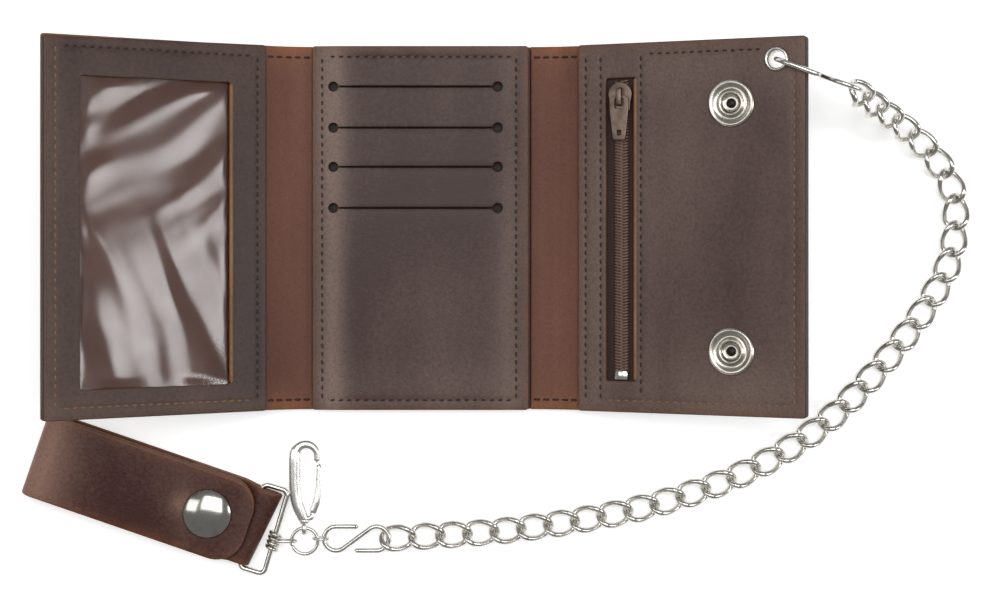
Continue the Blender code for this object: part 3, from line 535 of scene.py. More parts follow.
def field_points(corner_points, starts, ends, grooves, edge, step):
    """Staggered points over the rest of the sheet."""
    low, high = corner_points.min(0), corner_points.max(0)
    xs = np.arange(low[0] + step / 2, high[0], step)
    ys = np.arange(low[1] + step / 2, high[1], step)
    grid = np.array([(x + (step / 2 if j % 2 else 0), y) for j, y in enumerate(ys) for x in xs])
    keep = inside(grid, starts, ends) & (distance_to(grid, starts, ends) > edge + step * 0.4)
    if grooves:
        keep &= distance_to(grid, *ends_of(grooves)) > GROOVE_BAND
    return grid[keep]


def ends_of(grooves):
    return np.array([a for a, _ in grooves]), np.array([b for _, b in grooves])


def triangulated(loops, points, starts, ends):
    """The area between the loops as (points, triangles), each triangle turned the same way."""
    sides, first = [], 0
    for loop in loops:
        total = len(loop)
        sides += [(first + i, first + (i + 1) % total) for i in range(total)]
        first += total
    flat, _, triangles, *_ = geometry.delaunay_2d_cdt([Vector(p) for p in points], sides, [], 0, 1e-7)
    flat = np.array([(p.x, p.y) for p in flat])
    triangles = np.array([t for t in triangles if len(t) == 3])
    triangles = triangles[inside(flat[triangles].mean(1), starts, ends)]
    used = np.unique(triangles)
    index = np.full(len(flat), -1)
    index[used] = np.arange(len(used))
    flat, triangles = flat[used], index[triangles]
    corner = flat[triangles]
    turn = (corner[:, 1, 0] - corner[:, 0, 0]) * (corner[:, 2, 1] - corner[:, 0, 1])
    turn -= (corner[:, 1, 1] - corner[:, 0, 1]) * (corner[:, 2, 0] - corner[:, 0, 0])
    return flat, np.where((turn < 0)[:, None], triangles[:, ::-1], triangles)


def hide_sheet(
    name, loops, low, thickness, place, finishes, lie=None, grooves=(),
    step=0.0017, edge=0.00035, sheen_and_lightening=None, **riding,
):
    """A cut piece of leather: flat outline and holes, rounded edges, pressed grooves along its seams.

    lie(x, y) is how far the whole sheet rises at a place, and the lightening function how much lighter it is
    made, partly as painted highlight.
    finishes are the face, the back, the edge of the outline and the edge of the holes.
    """
    loops = [closely(loop, step * 0.7) for loop in loops]
    starts, ends = sides_of(loops)
    outlines = [np.array(loop) for loop in loops]
    rows = edge_points(loops, starts, ends, edge) + groove_points(grooves, starts, ends, edge, step)
    field = field_points(outlines[0], starts, ends, grooves, edge, step)
    flat, triangles = triangulated(loops, np.concatenate([*outlines, *rows, field]), starts, ends)
    depth = distance_to(flat, starts, ends)
    inward = np.clip(edge - depth, 0, edge)
    drop = edge - np.sqrt(np.maximum(edge**2 - inward**2, 0))
    pressed = np.zeros(len(flat))
    if grooves:
        pressed = GROOVE_DEPTH * np.exp(-((distance_to(flat, *ends_of(grooves)) / GROOVE_WIDTH) ** 2))
    rise = np.array([lie(x, y) if lie else 0.0 for x, y in flat])
    top = np.column_stack([flat, low + thickness - drop - pressed + rise])
    bottom = np.column_stack([flat, low + drop + rise])
    total = len(flat)
    faces = [tuple(t) for t in triangles] + [tuple(t[::-1] + total) for t in triangles]
    directed = {(int(a), int(b)) for t in triangles for a, b in zip(t, np.roll(t, -1))}
    walls = sorted((a, b) for a, b in directed if (b, a) not in directed)
    faces += [(b, a, a + total, b + total) for a, b in walls]
    rounded_off = (depth[triangles] < edge * 0.6).all(1)
    outer = len(loops[0])
    to_outline = distance_to(flat, starts[:outer], ends[:outer])
    cut = np.where(to_outline > depth + 1e-6, HOLE_CUT, OUTLINE_CUT)
    kinds = []
    for side in (FACE, BACK):
        kinds += [cut[t[0]] if r else side for r, t in zip(rounded_off, triangles)]
    kinds += [cut[a] for a, _ in walls]
    rim = np.tile(np.exp(-to_outline / RIM_REACH), 2)
    points = moved(np.concatenate([top, bottom]), place)
    # each point's lightening, partly painted highlight
    handled = [sheen_and_lightening(x, y) for x, y in flat] * 2 if sheen_and_lightening else None
    return piece(name, points, faces, finishes, face_finish=kinds, rim=rim, sheen_and_lightening=handled, **riding)


def frames_along(path, closed):
    """A steady pair of cross directions at each point of a path."""
    points = np.array(path, float)
    if closed:
        way = np.roll(points, -1, 0) - np.roll(points, 1, 0)
    else:
        way = np.gradient(points, axis=0)
    way /= np.linalg.norm(way, axis=1, keepdims=True)
    start = Vector(way[0]).orthogonal().normalized()
    crosses = [start]
    for a, b in zip(way, way[1:]):
        turn = Vector(a).rotation_difference(Vector(b))
        crosses.append((turn @ crosses[-1]).normalized())
    if closed:
        turn = Vector(way[-1]).rotation_difference(Vector(way[0]))
        last = turn @ crosses[-1]
        miss = math.atan2(Vector(way[0]).dot(crosses[0].cross(last)), crosses[0].dot(last))
        count = len(points)
        steady = enumerate(zip(way, crosses))
        crosses = [Matrix.Rotation(-miss * i / count, 3, Vector(w)) @ c for i, (w, c) in steady]
    side = np.array([tuple(c) for c in crosses])
    return points, way, side, np.cross(way, side)


def drawn_wire(path, radius, closed=False, sides=14, scales=None, flat=None, blunt=False):
    """A wire along a path, as (points, faces). Its open ends are rounded off, or cut square if blunt.

    scales are the wire's relative sizes along the path, and flat is a direction and how far the wire is
    pressed along it.
    """
    points, way, side, other = frames_along(path, closed)
    scales = np.ones(len(points)) if scales is None else np.array(scales, float)
    if not closed:
        if blunt:
            cap = [(0.0, 0.0), (0.02, 0.85), (0.18, 1.0)]
            start = [(points[0] + way[0] * radius * c, k) for c, k in cap]
            end = [(points[-1] - way[-1] * radius * c, k) for c, k in reversed(cap)]
            points, side, other, scales = points[1:-1], side[1:-1], other[1:-1], scales[1:-1]
        else:
            cap = [(0.0, 0.0), (0.35, 0.62), (0.75, 0.93)]
            start = [(points[0] - way[0] * radius * scales[0] * (0.8 - c), k) for c, k in cap]
            end = [(points[-1] + way[-1] * radius * scales[-1] * (0.8 - c), k) for c, k in reversed(cap)]
        side = np.concatenate([[side[0]] * 3, side, [side[-1]] * 3])
        other = np.concatenate([[other[0]] * 3, other, [other[-1]] * 3])
        scales = np.concatenate([[k * scales[0] for _, k in start], scales, [k * scales[-1] for _, k in end]])
        points = np.concatenate([[p for p, _ in start], points, [p for p, _ in end]])
    angles = np.arange(sides) * 2 * math.pi / sides
    outward = np.cos(angles)[None, :, None] * side[:, None, :]
    outward = outward + np.sin(angles)[None, :, None] * other[:, None, :]
    rings = points[:, None, :] + radius * scales[:, None, None] * outward
    if flat is not None:
        axis, share = np.array(flat[0], float), flat[1]
        rise = ((rings - points[:, None, :]) @ axis)[..., None] * axis
        rings = rings - rise * (1 - share)
    count = len(points)
    faces = []
    for i in range(count if closed else count - 1):
        a, b = i * sides, (i + 1) % count * sides
        faces += [(a + k, a + (k + 1) % sides, b + (k + 1) % sides, b + k) for k in range(sides)]
    out = [tuple(p) for p in rings.reshape(-1, 3)]
    if not closed:
        faces.append(tuple(range(sides))[::-1])
        faces.append(tuple(range((count - 1) * sides, count * sides)))
    return out, [f[::-1] for f in faces]


def smooth_path(points, steps=8, closed=False):
    """A smooth curve through a few points."""
    points = [Vector(p) for p in points]
    if closed:
        ends = [points[-1], *points, points[0], points[1]]
    else:
        ends = [2 * points[0] - points[1], *points, 2 * points[-1] - points[-2]]
    line = []
    for a, b, c, d in zip(ends, ends[1:], ends[2:], ends[3:]):
        slope, bow, twist = c - a, 2 * a - 5 * b + 4 * c - d, 3 * b - a - 3 * c + d
        for i in range(steps):
            t = i / steps
            line.append(tuple(0.5 * (2 * b + slope * t + bow * t**2 + twist * t**3)))
    return line if closed else [*line, tuple(points[-1])]


def turned(profile, place, steps=48, closed=False):
    """A profile of (radius, height) turned about local Z."""
    points, faces, rows = [], [], []
    for radius, height in profile:
        if radius < 1e-7:
            rows.append([len(points)])
            points.append((0.0, 0.0, height))
            continue
        rows.append(list(range(len(points), len(points) + steps)))
        angles = (2 * math.pi * i / steps for i in range(steps))
        points += [(radius * math.cos(a), radius * math.sin(a), height) for a in angles]
    pairs = list(zip(rows, rows[1:])) + ([(rows[-1], rows[0])] if closed else [])
    for a, b in pairs:
        for i in range(steps):
            j = (i + 1) % steps
            if len(a) == 1 and len(b) > 1:
                faces.append((a[0], b[i], b[j]))
            elif len(b) == 1 and len(a) > 1:
                faces.append((a[i], b[0], a[j]))
            elif len(a) > 1:
                faces.append((a[i], b[i], b[j], a[j]))
    return moved(points, place), faces


def softened(profile, radius, steps=3):
    """The profile with each corner rounded off."""
    out = [profile[0]]
    for a, b, c in zip(profile, profile[1:], profile[2:]):
        a, b, c = Vector(a), Vector(b), Vector(c)
        back, on = min(radius, (a - b).length * 0.45), min(radius, (c - b).length * 0.45)
        start, end = b + (a - b).normalized() * back, b + (c - b).normalized() * on
        for i in range(steps + 1):
            t = i / steps
            out.append(tuple((1 - t) ** 2 * start + 2 * (1 - t) * t * b + t**2 * end))
    return [*out, profile[-1]]


HALF_STITCH = ((-0.26, -0.0005), (-0.23, -0.00014), (-0.13, 0.00004))
STITCH = (*HALF_STITCH, (0.0, 0.00010), *((-share, rise) for share, rise in reversed(HALF_STITCH)))
THREAD = 0.00036
SUNK = 0.00034


def seam(
    name, rows, surface, place, finish, body=None, pitch=0.0026, thread=THREAD, lie=None, **riding,
):
    """Saddle stitches along straight rows: short bent threads that dip into the leather at each end."""
    parts = []
    for start, end in rows:
        a, b = np.array(start), np.array(end)
        length = np.linalg.norm(b - a)
        count = max(1, round(length / pitch))
        way = (b - a) / count
        across = np.array([-way[1], way[0]]) / np.linalg.norm(way)
        for i in range(count):
            wander = noise.noise(Vector((a[0] * 900 + i * 3.1, a[1] * 700, 4.2))) * 0.00010
            centre = a + way * (i + 0.5) + across * wander
            path = []
            for share, rise in STITCH:
                x, y = centre + way * share + across * share * 0.00025
                level = surface + (lie(x, y) if lie else 0.0) - SUNK
                path.append((x, y, level + rise))
            parts.append(drawn_wire(path, thread, sides=6))
    points, faces = joined(parts)
    return piece(name, moved(points, place), faces, [finish], body, **riding)


def bell(value, middle, width):
    """1 at the middle, falling off smoothly on both sides."""
    return math.exp(-(((value - middle) / width) ** 2))


def ripple(seed, height, size=22.0):
    """A slow unevenness of a hand-cut sheet."""
    return lambda x, y: height * noise.noise(Vector((x * size, y * size * 0.8, seed)))


# ======================================================================= the centre section

centre_lie = ripple(1.7, 0.00012)


def card_sheen_and_lightening(x, y):
    """Painted highlight in a band down the left, where the leather rolls down; lighter down the right and along
    the foot of the card pocket, and darker between.
    """
    # painted highlight: the band down the left side
    left_sheen_band = 0.95 * bell(x, -0.0283, 0.0045) - 0.13
    return left_sheen_band + 0.32 * bell(x, 0.0275, 0.0042) + 0.16 * bell(y, -0.050, 0.008)


def card_lie(x, y):
    """The card pocket's face: it rolls down at its left, lifts at its right edge, and each slit gapes."""
    rise = centre_lie(x, y) - 0.0007 * bell(x, -CENTRE_EDGE, 0.0050)
    rise += 0.00030 * bell(x, CARD_EDGE, 0.0032) * (0.7 + 0.3 * math.sin(y * 40))
    between = 1 / (1 + math.exp(-(x - SLIT_ENDS[0]) / 0.0012)) / (1 + math.exp((x - SLIT_ENDS[1]) / 0.0012))
    for slit in SLIT_ROWS:
        if y > slit:
            rise += 0.00014 * between * math.exp(-(y - slit) / 0.0030)
        else:
            rise -= 0.00020 * between * math.exp(-(slit - y) / 0.0015)
    return rise


def centre_section():
    back = rounded(-CENTRE_EDGE, CENTRE_EDGE, -HALF_HEIGHT, HALF_HEIGHT, 0.0004)
    hide_sheet(
        "centre_cover", [back], 0.0, COVER, FLAT, [INNER, OUTER, DARK_EDGE, DARK_EDGE], centre_lie,
        body="centre_section", slot="outer_leather", replaces=["outer_cover_centre"],
    )
    left, right = -CENTRE_EDGE + 0.0031, CARD_EDGE - 0.0038
    top, bottom = HALF_HEIGHT - 0.0034, -HALF_HEIGHT + 0.0031
    rows = [
        ((left, bottom), (left, top)),
        ((right, top), (right, bottom)),
        ((left + 0.002, top), (right - 0.001, top)),
        ((left + 0.002, bottom), (right - 0.001, bottom)),
    ]
    face = rounded(-CENTRE_EDGE, CARD_EDGE, -HALF_HEIGHT, HALF_HEIGHT, CORNER)
    slits = [dumbbell(*SLIT_ENDS, y, 0.00028, 0.0029) for y in SLIT_ROWS]
    hide_sheet(
        "card_pocket_face", [face, *slits], CARD_TOP - CARD_LEATHER, CARD_LEATHER, FLAT,
        [INNER, INNER, CUT_EDGE, DARK_EDGE], card_lie, rows,
        step=0.0015, sheen_and_lightening=card_sheen_and_lightening, body="centre_section", slot="inner_leather", replaces=["card_slot_panel"],
    )
    high = HALF_HEIGHT - 0.0003
    lining = rounded(-CENTRE_EDGE + 0.0003, CARD_EDGE - 0.0004, -high, high, CORNER)
    # The lining is dark all over: painted shade seen through the slits.
    hide_sheet(
        "card_pocket_lining", [lining], CARD_LOW, 0.0012, FLAT, [DARK_EDGE] * 4, centre_lie,
        step=0.003, body="centre_section", slot="inner_leather",
    )
    high = HALF_HEIGHT - 0.0002
    packing = rounded(-CENTRE_EDGE + 0.0002, -CENTRE_EDGE + 0.0045, -high, high, CORNER)
    hide_sheet(
        "card_pocket_left_seam", [packing], CARD_LOW + 0.0011, 0.0008, FLAT, [DARK_EDGE] * 4, card_lie,
        step=0.003, edge=0.0002, body="centre_section", slot="inner_leather",
    )
    seam("card_pocket_stitching", rows, CARD_TOP, FLAT, DARK_THREAD, "centre_section", lie=card_lie)


# ======================================================================= the folds


FOLD_STEPS = 26
FOLD_EDGE = 0.0004
FOLD_STITCHES = 5


def bend_path(side, hinge_z, tilt, near):
    """The middle line of a fold's leather, from the centre section's edge to the side section's."""
    middle = FOLD_LEATHER / 2
    a = Vector((side * CENTRE_EDGE, middle))
    u, drop = near, middle - hinge_z
    lean, rise = math.cos(tilt), math.sin(tilt)
    d = Vector((side * (FOLD_OFFSET + u * lean - drop * rise), hinge_z + u * rise + drop * lean))
    pull = 0.00525
    b = a + Vector((side * pull, 0.0))
    c = d - pull * Vector((side * lean, rise))
    line = []
    for i in range(FOLD_STEPS + 1):
        t = i / FOLD_STEPS
        line.append((1 - t) ** 3 * a + 3 * (1 - t) ** 2 * t * b + 3 * (1 - t) * t**2 * c + t**3 * d)
    return line


def fold(name, side, hinge_z, tilt, near, node_name, seed):
    """One bent strip, with the fine creases that folding leaves, and its rows of stitches."""
    line = bend_path(side, hinge_z, tilt, near)
    rows = np.linspace(-HALF_HEIGHT, HALF_HEIGHT, 120)
    points, rim = [], []
    count = len(line)
    for face in (1, -1):
        for y in rows:
            ends = min(HALF_HEIGHT - abs(y), FOLD_EDGE)
            edge = FOLD_EDGE - math.sqrt(max(FOLD_EDGE**2 - (FOLD_EDGE - ends) ** 2, 0.0))
            for i, p in enumerate(line):
                along = (line[min(i + 1, count - 1)] - line[max(i - 1, 0)]).normalized()
                up = Vector((-along.y, along.x)) * side
                share = math.sin(math.pi * i / (count - 1))
                crease = 0.00016 * share * noise.noise(Vector((p.x * 420, y * 34, seed)))
                sag = -0.00035 * share * noise.noise(Vector((3.0, y * 30, seed))) if face == 1 else 0.0
                level = face * (FOLD_LEATHER / 2 - edge) + (crease + sag if face == 1 else crease)
                at = p + up * level
                points.append((at.x, y, at.y))
                rim.append(math.exp(-(HALF_HEIGHT - abs(y)) / 0.0032))
    faces, kinds = [], []
    wide, tall = count, len(rows)
    layer = wide * tall
    for j in range(tall - 1):
        for i in range(wide - 1):
            a = j * wide + i
            top = (a, a + 1, a + wide + 1, a + wide)
            faces += [top[:: side], tuple(v + layer for v in top)[:: -side]]
            kinds += [0, 1]
    for a, b in border_of(wide, tall):
        faces.append((a, a + layer, b + layer, b)[:: side])
        kinds.append(2)
    strip = piece(name, points, faces, [LINER, OUTER, CUT_EDGE], None, "outer_leather", [node_name], kinds, rim)
    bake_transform(strip)
    stitches = []
    for y in (HALF_HEIGHT - 0.0034, -HALF_HEIGHT + 0.0031):
        for k in range(FOLD_STITCHES):
            i = 1 + (count - 3) * (k + 0.5) / FOLD_STITCHES
            path = []
            for shift, rise in ((-1.35, -0.0004), (-1.1, 0.0), (0, 0.00014), (1.1, 0.0), (1.35, -0.0004)):
                at = min(max(i + shift, 0), count - 1)
                low = int(min(at, count - 2))
                p = line[low].lerp(line[low + 1], at - low)
                along = (line[low + 1] - line[low]).normalized()
                p = p + Vector((-along.y, along.x)) * side * (FOLD_LEATHER / 2 + rise)
                path.append((p.x, y, p.y))
            stitches.append(drawn_wire(path, THREAD, sides=6))
    made = piece(name + "_stitching", *joined(stitches), [DARK_THREAD], None, "outer_leather")
    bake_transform(made)


# ======================================================================= the left section

left_lie = ripple(5.3, 0.00012)


def film_lie(x, y):
    """Soft vinyl that has been pushed about: long slanting swells, held flat round the window."""
    x0, x1, y0, y1 = WINDOW
    inset = min(x - x0, x1 - x, y - y0, y1 - y)
    loose = min(max((inset + 0.0010) / 0.0045, 0.0), 1.0)
    loose = loose * loose * (3 - 2 * loose)
    upper = 1 / (1 + math.exp(-(y - 0.002) / 0.006))
    rise = 0.0
    for lean, share, seed in ((-62, upper, 2.6), (22, 1 - upper, 12.4)):
        turn = math.radians(lean)
        across = x * math.cos(turn) + y * math.sin(turn)
        along = -x * math.sin(turn) + y * math.cos(turn)
        drift = noise.noise(Vector((x * 32, y * 32, seed + 6)))
        rise += share * 0.00155 * noise.noise(Vector((across * 66 + drift * 0.9, along * 17, seed)))
        rise += share * 0.00034 * noise.noise(Vector((across * 170 + drift, along * 40, seed + 3)))
    return left_lie(x, y) + loose * rise


def window_lightening(x, y):
    """Lighter down the outer side and along the foot of the window's leather."""
    return 0.30 * bell(x, -0.0765, 0.004) + 0.28 * bell(y, -0.055, 0.005)


def left_section():
    back = rounded(-LEFT_FAR, -LEFT_NEAR, -HALF_HEIGHT, HALF_HEIGHT, CORNER)
    hide_sheet(
        "left_cover", [back], LEFT_LOW, COVER, LEFT, [LINER, OUTER, CUT_EDGE, CUT_EDGE], left_lie,
        body="left_panel", slot="outer_leather", replaces=["outer_cover_left"],
    )
    trimmed = [(x, y - (0.0009 if y > 0 else 0.0) * (-x - LEFT_NEAR) / (LEFT_FAR - LEFT_NEAR)) for x, y in back]
    core = [trimmed, rounded(-0.0735, -0.0130, -0.0540, 0.0510, 0.001)]
    hide_sheet(
        "left_edge_core", core, LEFT_LOW + COVER, 0.0009, LEFT, [DARK_EDGE] * 4, left_lie,
        step=0.003, edge=0.0002, body="left_panel", slot="inner_leather",
    )
    top, bottom = HALF_HEIGHT - SEAM_INSET, -HALF_HEIGHT + SEAM_INSET
    far, near = -LEFT_FAR + SEAM_INSET, -0.01055
    inner_rows = [((near, bottom), (near, top)), ((far + 0.002, top), (near - 0.002, top))]
    outer_rows = [((far, top), (far, bottom)), ((far + 0.002, bottom), (near - 0.002, bottom))]
    level = LEFT_LOW + LEFT_STACK
    hide_sheet(
        "window_leather", [trimmed, rounded(*WINDOW, 0.0014)], level - COVER, COVER, LEFT,
        [WINDOW_HIDE, INNER, DARK_EDGE, CUT_EDGE], left_lie, inner_rows + outer_rows,
        step=0.0014, sheen_and_lightening=window_lightening,
        body="left_panel", slot="inner_leather", replaces=["window_frame"],
    )
    seam("left_inner_stitching", inner_rows, level, LEFT, DARK_THREAD, "left_panel", lie=left_lie)
    seam("left_outer_stitching", outer_rows, level, LEFT, TAN_THREAD, "left_panel", lie=left_lie)
    lips = (
        ("window_left_lip", WINDOW[0], 0.00030, INNER),
        ("window_right_raw_edge", WINDOW[1] - 0.0002, 0.00062, RAW_EDGE),
    )
    for name, x, thick, finish in lips:
        heights = np.linspace(WINDOW[2] + 0.0008, WINDOW[3] - 0.0008, 60)
        lip = [(x, y, level - 0.0004 + left_lie(x, y)) for y in heights]
        points, faces = drawn_wire(lip, thick, sides=10)
        piece(name, moved(points, LEFT), faces, [finish], "left_panel", "inner_leather")
    vinyl()
    for place, side in (("lower", -1), ("upper", 1)):
        spot = LEFT @ Matrix.Translation((-STUD_U, side * SNAP_Y, LEFT_LOW)) @ Matrix.Rotation(math.pi, 4, "X")
        points, faces = turned(softened(stud_profile(0.0031, COVER * 0.7), 0.0003), spot)
        piece(f"{place}_ball_stud", points, faces, [NICKEL], "left_panel", "nickel", [f"snap_stud_{place}"])


def vinyl():
    """The clear window, a thin sheet tucked under the window's leather."""
    x0, x1, y0, y1 = WINDOW
    margin, thick = 0.0045, 0.00024
    columns = np.linspace(x0 - margin, x1 + margin, 100)
    rows = np.linspace(y0 - margin, y1 + margin, 170)
    low = LEFT_LOW + LEFT_STACK - COVER - thick - 0.00005
    points = []
    for face in (1, 0):
        points += [(x, y, low + thick * face + film_lie(x, y)) for y in rows for x in columns]
    wide, tall = len(columns), len(rows)
    layer = wide * tall
    faces = []
    for j in range(tall - 1):
        for i in range(wide - 1):
            a = j * wide + i
            quad = (a, a + 1, a + wide + 1, a + wide)
            faces += [quad, tuple(v + layer for v in quad)[::-1]]
    faces += [(a, a + layer, b + layer, b) for a, b in border_of(wide, tall)]
    piece("window_clear_film", moved(points, LEFT), faces, [VINYL], "left_panel", "clear_film", ["window_film"])


# ======================================================================= snaps and eyelet


def stud_profile(height, depth):
    """A ball stud on its flange, with its post going down."""
    top, plate_top = 0.0003 + height, 0.0011
    grip = (top - plate_top) * 0.7
    return [
        (0.0, top - 0.0004), (0.0014, top - 0.0004), (0.0017, top), (0.0026, top), (0.0031, top - 0.0006),
        (0.0031, top - grip), (0.0026, plate_top), (0.0048, plate_top), (0.0055, 0.0008), (0.0055, 0.0003),
        (0.0015, 0.0003), (0.0015, -depth), (0.0, -depth),
    ]


def socket_profile():
    """The socket's rolled outer ring, dished face, raised inner ring and dark well."""
    face = RIGHT_STACK + 0.0012
    low = RIGHT_STACK + 0.0001
    return [
        (0.0, low + 0.0002), (0.0020, low + 0.0002), (0.0026, face - 0.0007), (0.0031, face + 0.0002),
        (0.0036, face + 0.0003), (0.0040, face - 0.0003), (0.0046, face - 0.00055), (0.0052, face - 0.0004),
        (0.0060, face + 0.0001), (0.0066, face + 0.0002), (0.0071, face - 0.0002), (0.00725, face - 0.0006),
        (0.0072, low), (0.0040, low), (0.0040, COVER + 0.0001), (0.0015, COVER + 0.0001), (0.0015, -0.0003),
    ]


def cap_profile(dome, radius=0.0076):
    """A pressed cap with a soft dome and a rolled rim, from its middle out."""
    return [
        (0.0, dome), (radius * 0.18, dome * 0.985), (radius * 0.36, dome * 0.93), (radius * 0.52, dome * 0.83),
        (radius * 0.66, dome * 0.69), (radius * 0.78, dome * 0.52), (radius * 0.88, dome * 0.34),
        (radius * 0.95, dome * 0.20), (radius, dome * 0.06), (radius * 0.99, 0.0),
    ]


def snaps_and_eyelet():
    for place, side in (("lower", -1), ("upper", 1)):
        spot = RIGHT @ Matrix.Translation((SNAP_U, side * SNAP_Y, RIGHT_LOW))
        bright = turned(softened(socket_profile(), 0.00022), spot, 64)
        back = [(r, -0.0003 - z) for r, z in cap_profile(0.0019)]
        cap = turned([(0.0, -0.0003), *softened(back[::-1], 0.0002)], spot, 64)
        piece(
            f"{place}_snap_socket", *joined([bright, cap]), [SOFT_NICKEL], "right_panel", "nickel",
            [f"snap_socket_{place}"],
        )
        # A dark disc at the bottom of each socket's hole: painted shade in the well.
        floor = RIGHT_STACK + 0.0002
        disc = [(0.0, floor + 0.0003), (0.0015, floor + 0.0003), (0.0015, floor), (0.0, floor)]
        piece(f"{place}_socket_well", *turned(disc, spot, 32), [DARK_HOLE], "right_panel", "nickel")
    spot = RIGHT @ Matrix.Translation((EYELET_U, EYELET_Y, RIGHT_LOW))
    top, low = RIGHT_STACK, 0.0
    bore, lip = 0.0026, 0.00375
    outline = [
        (bore, top - 0.0002), (bore + 0.00015, top + 0.0005), (bore + 0.0005, top + 0.00085),
        (lip - 0.0003, top + 0.0006), (lip, top + 0.0002), (lip - 0.0002, top),
        (bore + 0.0005, top - 0.0002), (bore + 0.0005, low + 0.0002),
        (lip - 0.0002, low), (lip, low - 0.0002), (lip - 0.0003, low - 0.0006),
        (bore + 0.0005, low - 0.00085), (bore + 0.00015, low - 0.0005), (bore, low + 0.0002),
    ]
    points, faces = turned(outline, spot, 48, closed=True)
    piece("chain_eyelet_ring", points, faces, [NICKEL], "right_panel", "nickel", ["chain_eyelet"])


# ======================================================================= the right section

right_lie = ripple(8.8, 0.00022)


def coin_lie(x, y):
    """The coin pocket's face: slightly full across the middle."""
    full = bell(x, 0.052, 0.018) * math.cos(min(abs(y) / HALF_HEIGHT, 1) * math.pi / 2)
    return right_lie(x, y) + 0.0004 * full


def coin_sheen_and_lightening(x, y):
    """Lighter on both sides of the zip and along the head and foot of the coin pocket, with a painted sheen
    highlight in a band across the full middle.
    """
    by_zip = 0.18 * bell(x, 0.0115, 0.007) + 0.12 * bell(x, 0.030, 0.004)
    foot = 0.40 * bell(y, -0.052, 0.016) * bell(x, 0.062, 0.022)
    # painted highlight: a sheen band where the pocket is full across the middle
    band = 0.14 * bell(x, 0.040, 0.006) * (0.6 + 0.4 * math.sin(y * 50))
    return by_zip + foot + band + 0.22 * bell(y, 0.052, 0.010)


def right_section():
    outline = rounded(RIGHT_NEAR, RIGHT_FAR, -HALF_HEIGHT, HALF_HEIGHT, CORNER)
    eye = ring_of(EYELET_U, EYELET_Y, 0.0033, 24)
    hide_sheet(
        "right_cover", [outline, eye], RIGHT_LOW, COVER, RIGHT, [OUTER, OUTER, DARK_EDGE, DARK_EDGE], right_lie,
        body="right_panel", slot="outer_leather", replaces=["outer_cover_right"],
    )
    hollow = [
        (0.0105, -0.0535), (0.0740, -0.0535), (0.0740, 0.0440),
        (0.0620, 0.0440), (0.0620, 0.0525), (0.0105, 0.0525),
    ]
    hide_sheet(
        "right_edge_core", [outline, hollow, eye], RIGHT_LOW + COVER, 0.0016, RIGHT, [DARK_EDGE] * 4, right_lie,
        step=0.003, edge=0.0002, body="right_panel", slot="inner_leather",
    )
    level = RIGHT_LOW + RIGHT_STACK
    top, bottom = HALF_HEIGHT - SEAM_INSET, -HALF_HEIGHT + SEAM_INSET
    rows = [((u, bottom if u < 0.02 else ZIP_OPENING[2] - 0.004), (u, top)) for u in (0.0093, 0.0142, 0.0273)]
    rows += [((0.0295, top), (0.0655, top))]
    rows += [((0.0752, 0.0470), (0.0752, bottom)), ((0.0735, bottom), (0.0158, bottom))]
    sockets = [ring_of(SNAP_U, side * SNAP_Y, 0.0043, 28) for side in (-1, 1)]
    hide_sheet(
        "coin_pocket_leather", [outline, eye, rounded(*ZIP_OPENING, 0.0007), *sockets],
        level - COVER, COVER, RIGHT,
        [INNER, INNER, DARK_EDGE, CUT_EDGE], coin_lie, rows, step=0.0015, sheen_and_lightening=coin_sheen_and_lightening,
        body="right_panel", slot="inner_leather", replaces=["coin_pocket_panel"],
    )
    seam("coin_pocket_stitching", rows[:4], level, RIGHT, DARK_THREAD, "right_panel", lie=coin_lie)
    seam("right_edge_stitching", rows[4:], level, RIGHT, TAN_THREAD, "right_panel", lie=coin_lie)
    side, low, high = ZIP_OPENING[1], ZIP_OPENING[2] + 0.0007, ZIP_OPENING[3] - 0.0007
    raw = [(side - 0.0001, y, level - 0.00030 + coin_lie(side, y)) for y in np.linspace(low, high, 60)]
    points, faces = drawn_wire(raw, 0.00055, sides=10)
    piece("zip_opening_raw_edge", moved(points, RIGHT), faces, [RAW_EDGE], "right_panel", "inner_leather")


# ======================================================================= the zip

ZIP_MIDDLE = (ZIP_OPENING[0] + ZIP_OPENING[1]) / 2
TAPE_LOW = RIGHT_LOW + COVER + 0.0003
TAPE_TOP = TAPE_LOW + 0.0008
SLIDER_Y = 0.0405
# one turn of the coil: how far out in mm, how far along in pitches, and how high in coil heights
COIL_TURN = (
    (2.05, 0.0, 0.20), (1.6, 0.10, 0.02), (0.6, 0.25, 0.0), (-0.35, 0.42, 0.12), (-0.45, 0.5, 0.5),
    (-0.1, 0.55, 0.85), (0.8, 0.62, 0.9), (1.8, 0.80, 0.85), (2.1, 0.9, 0.55),
)


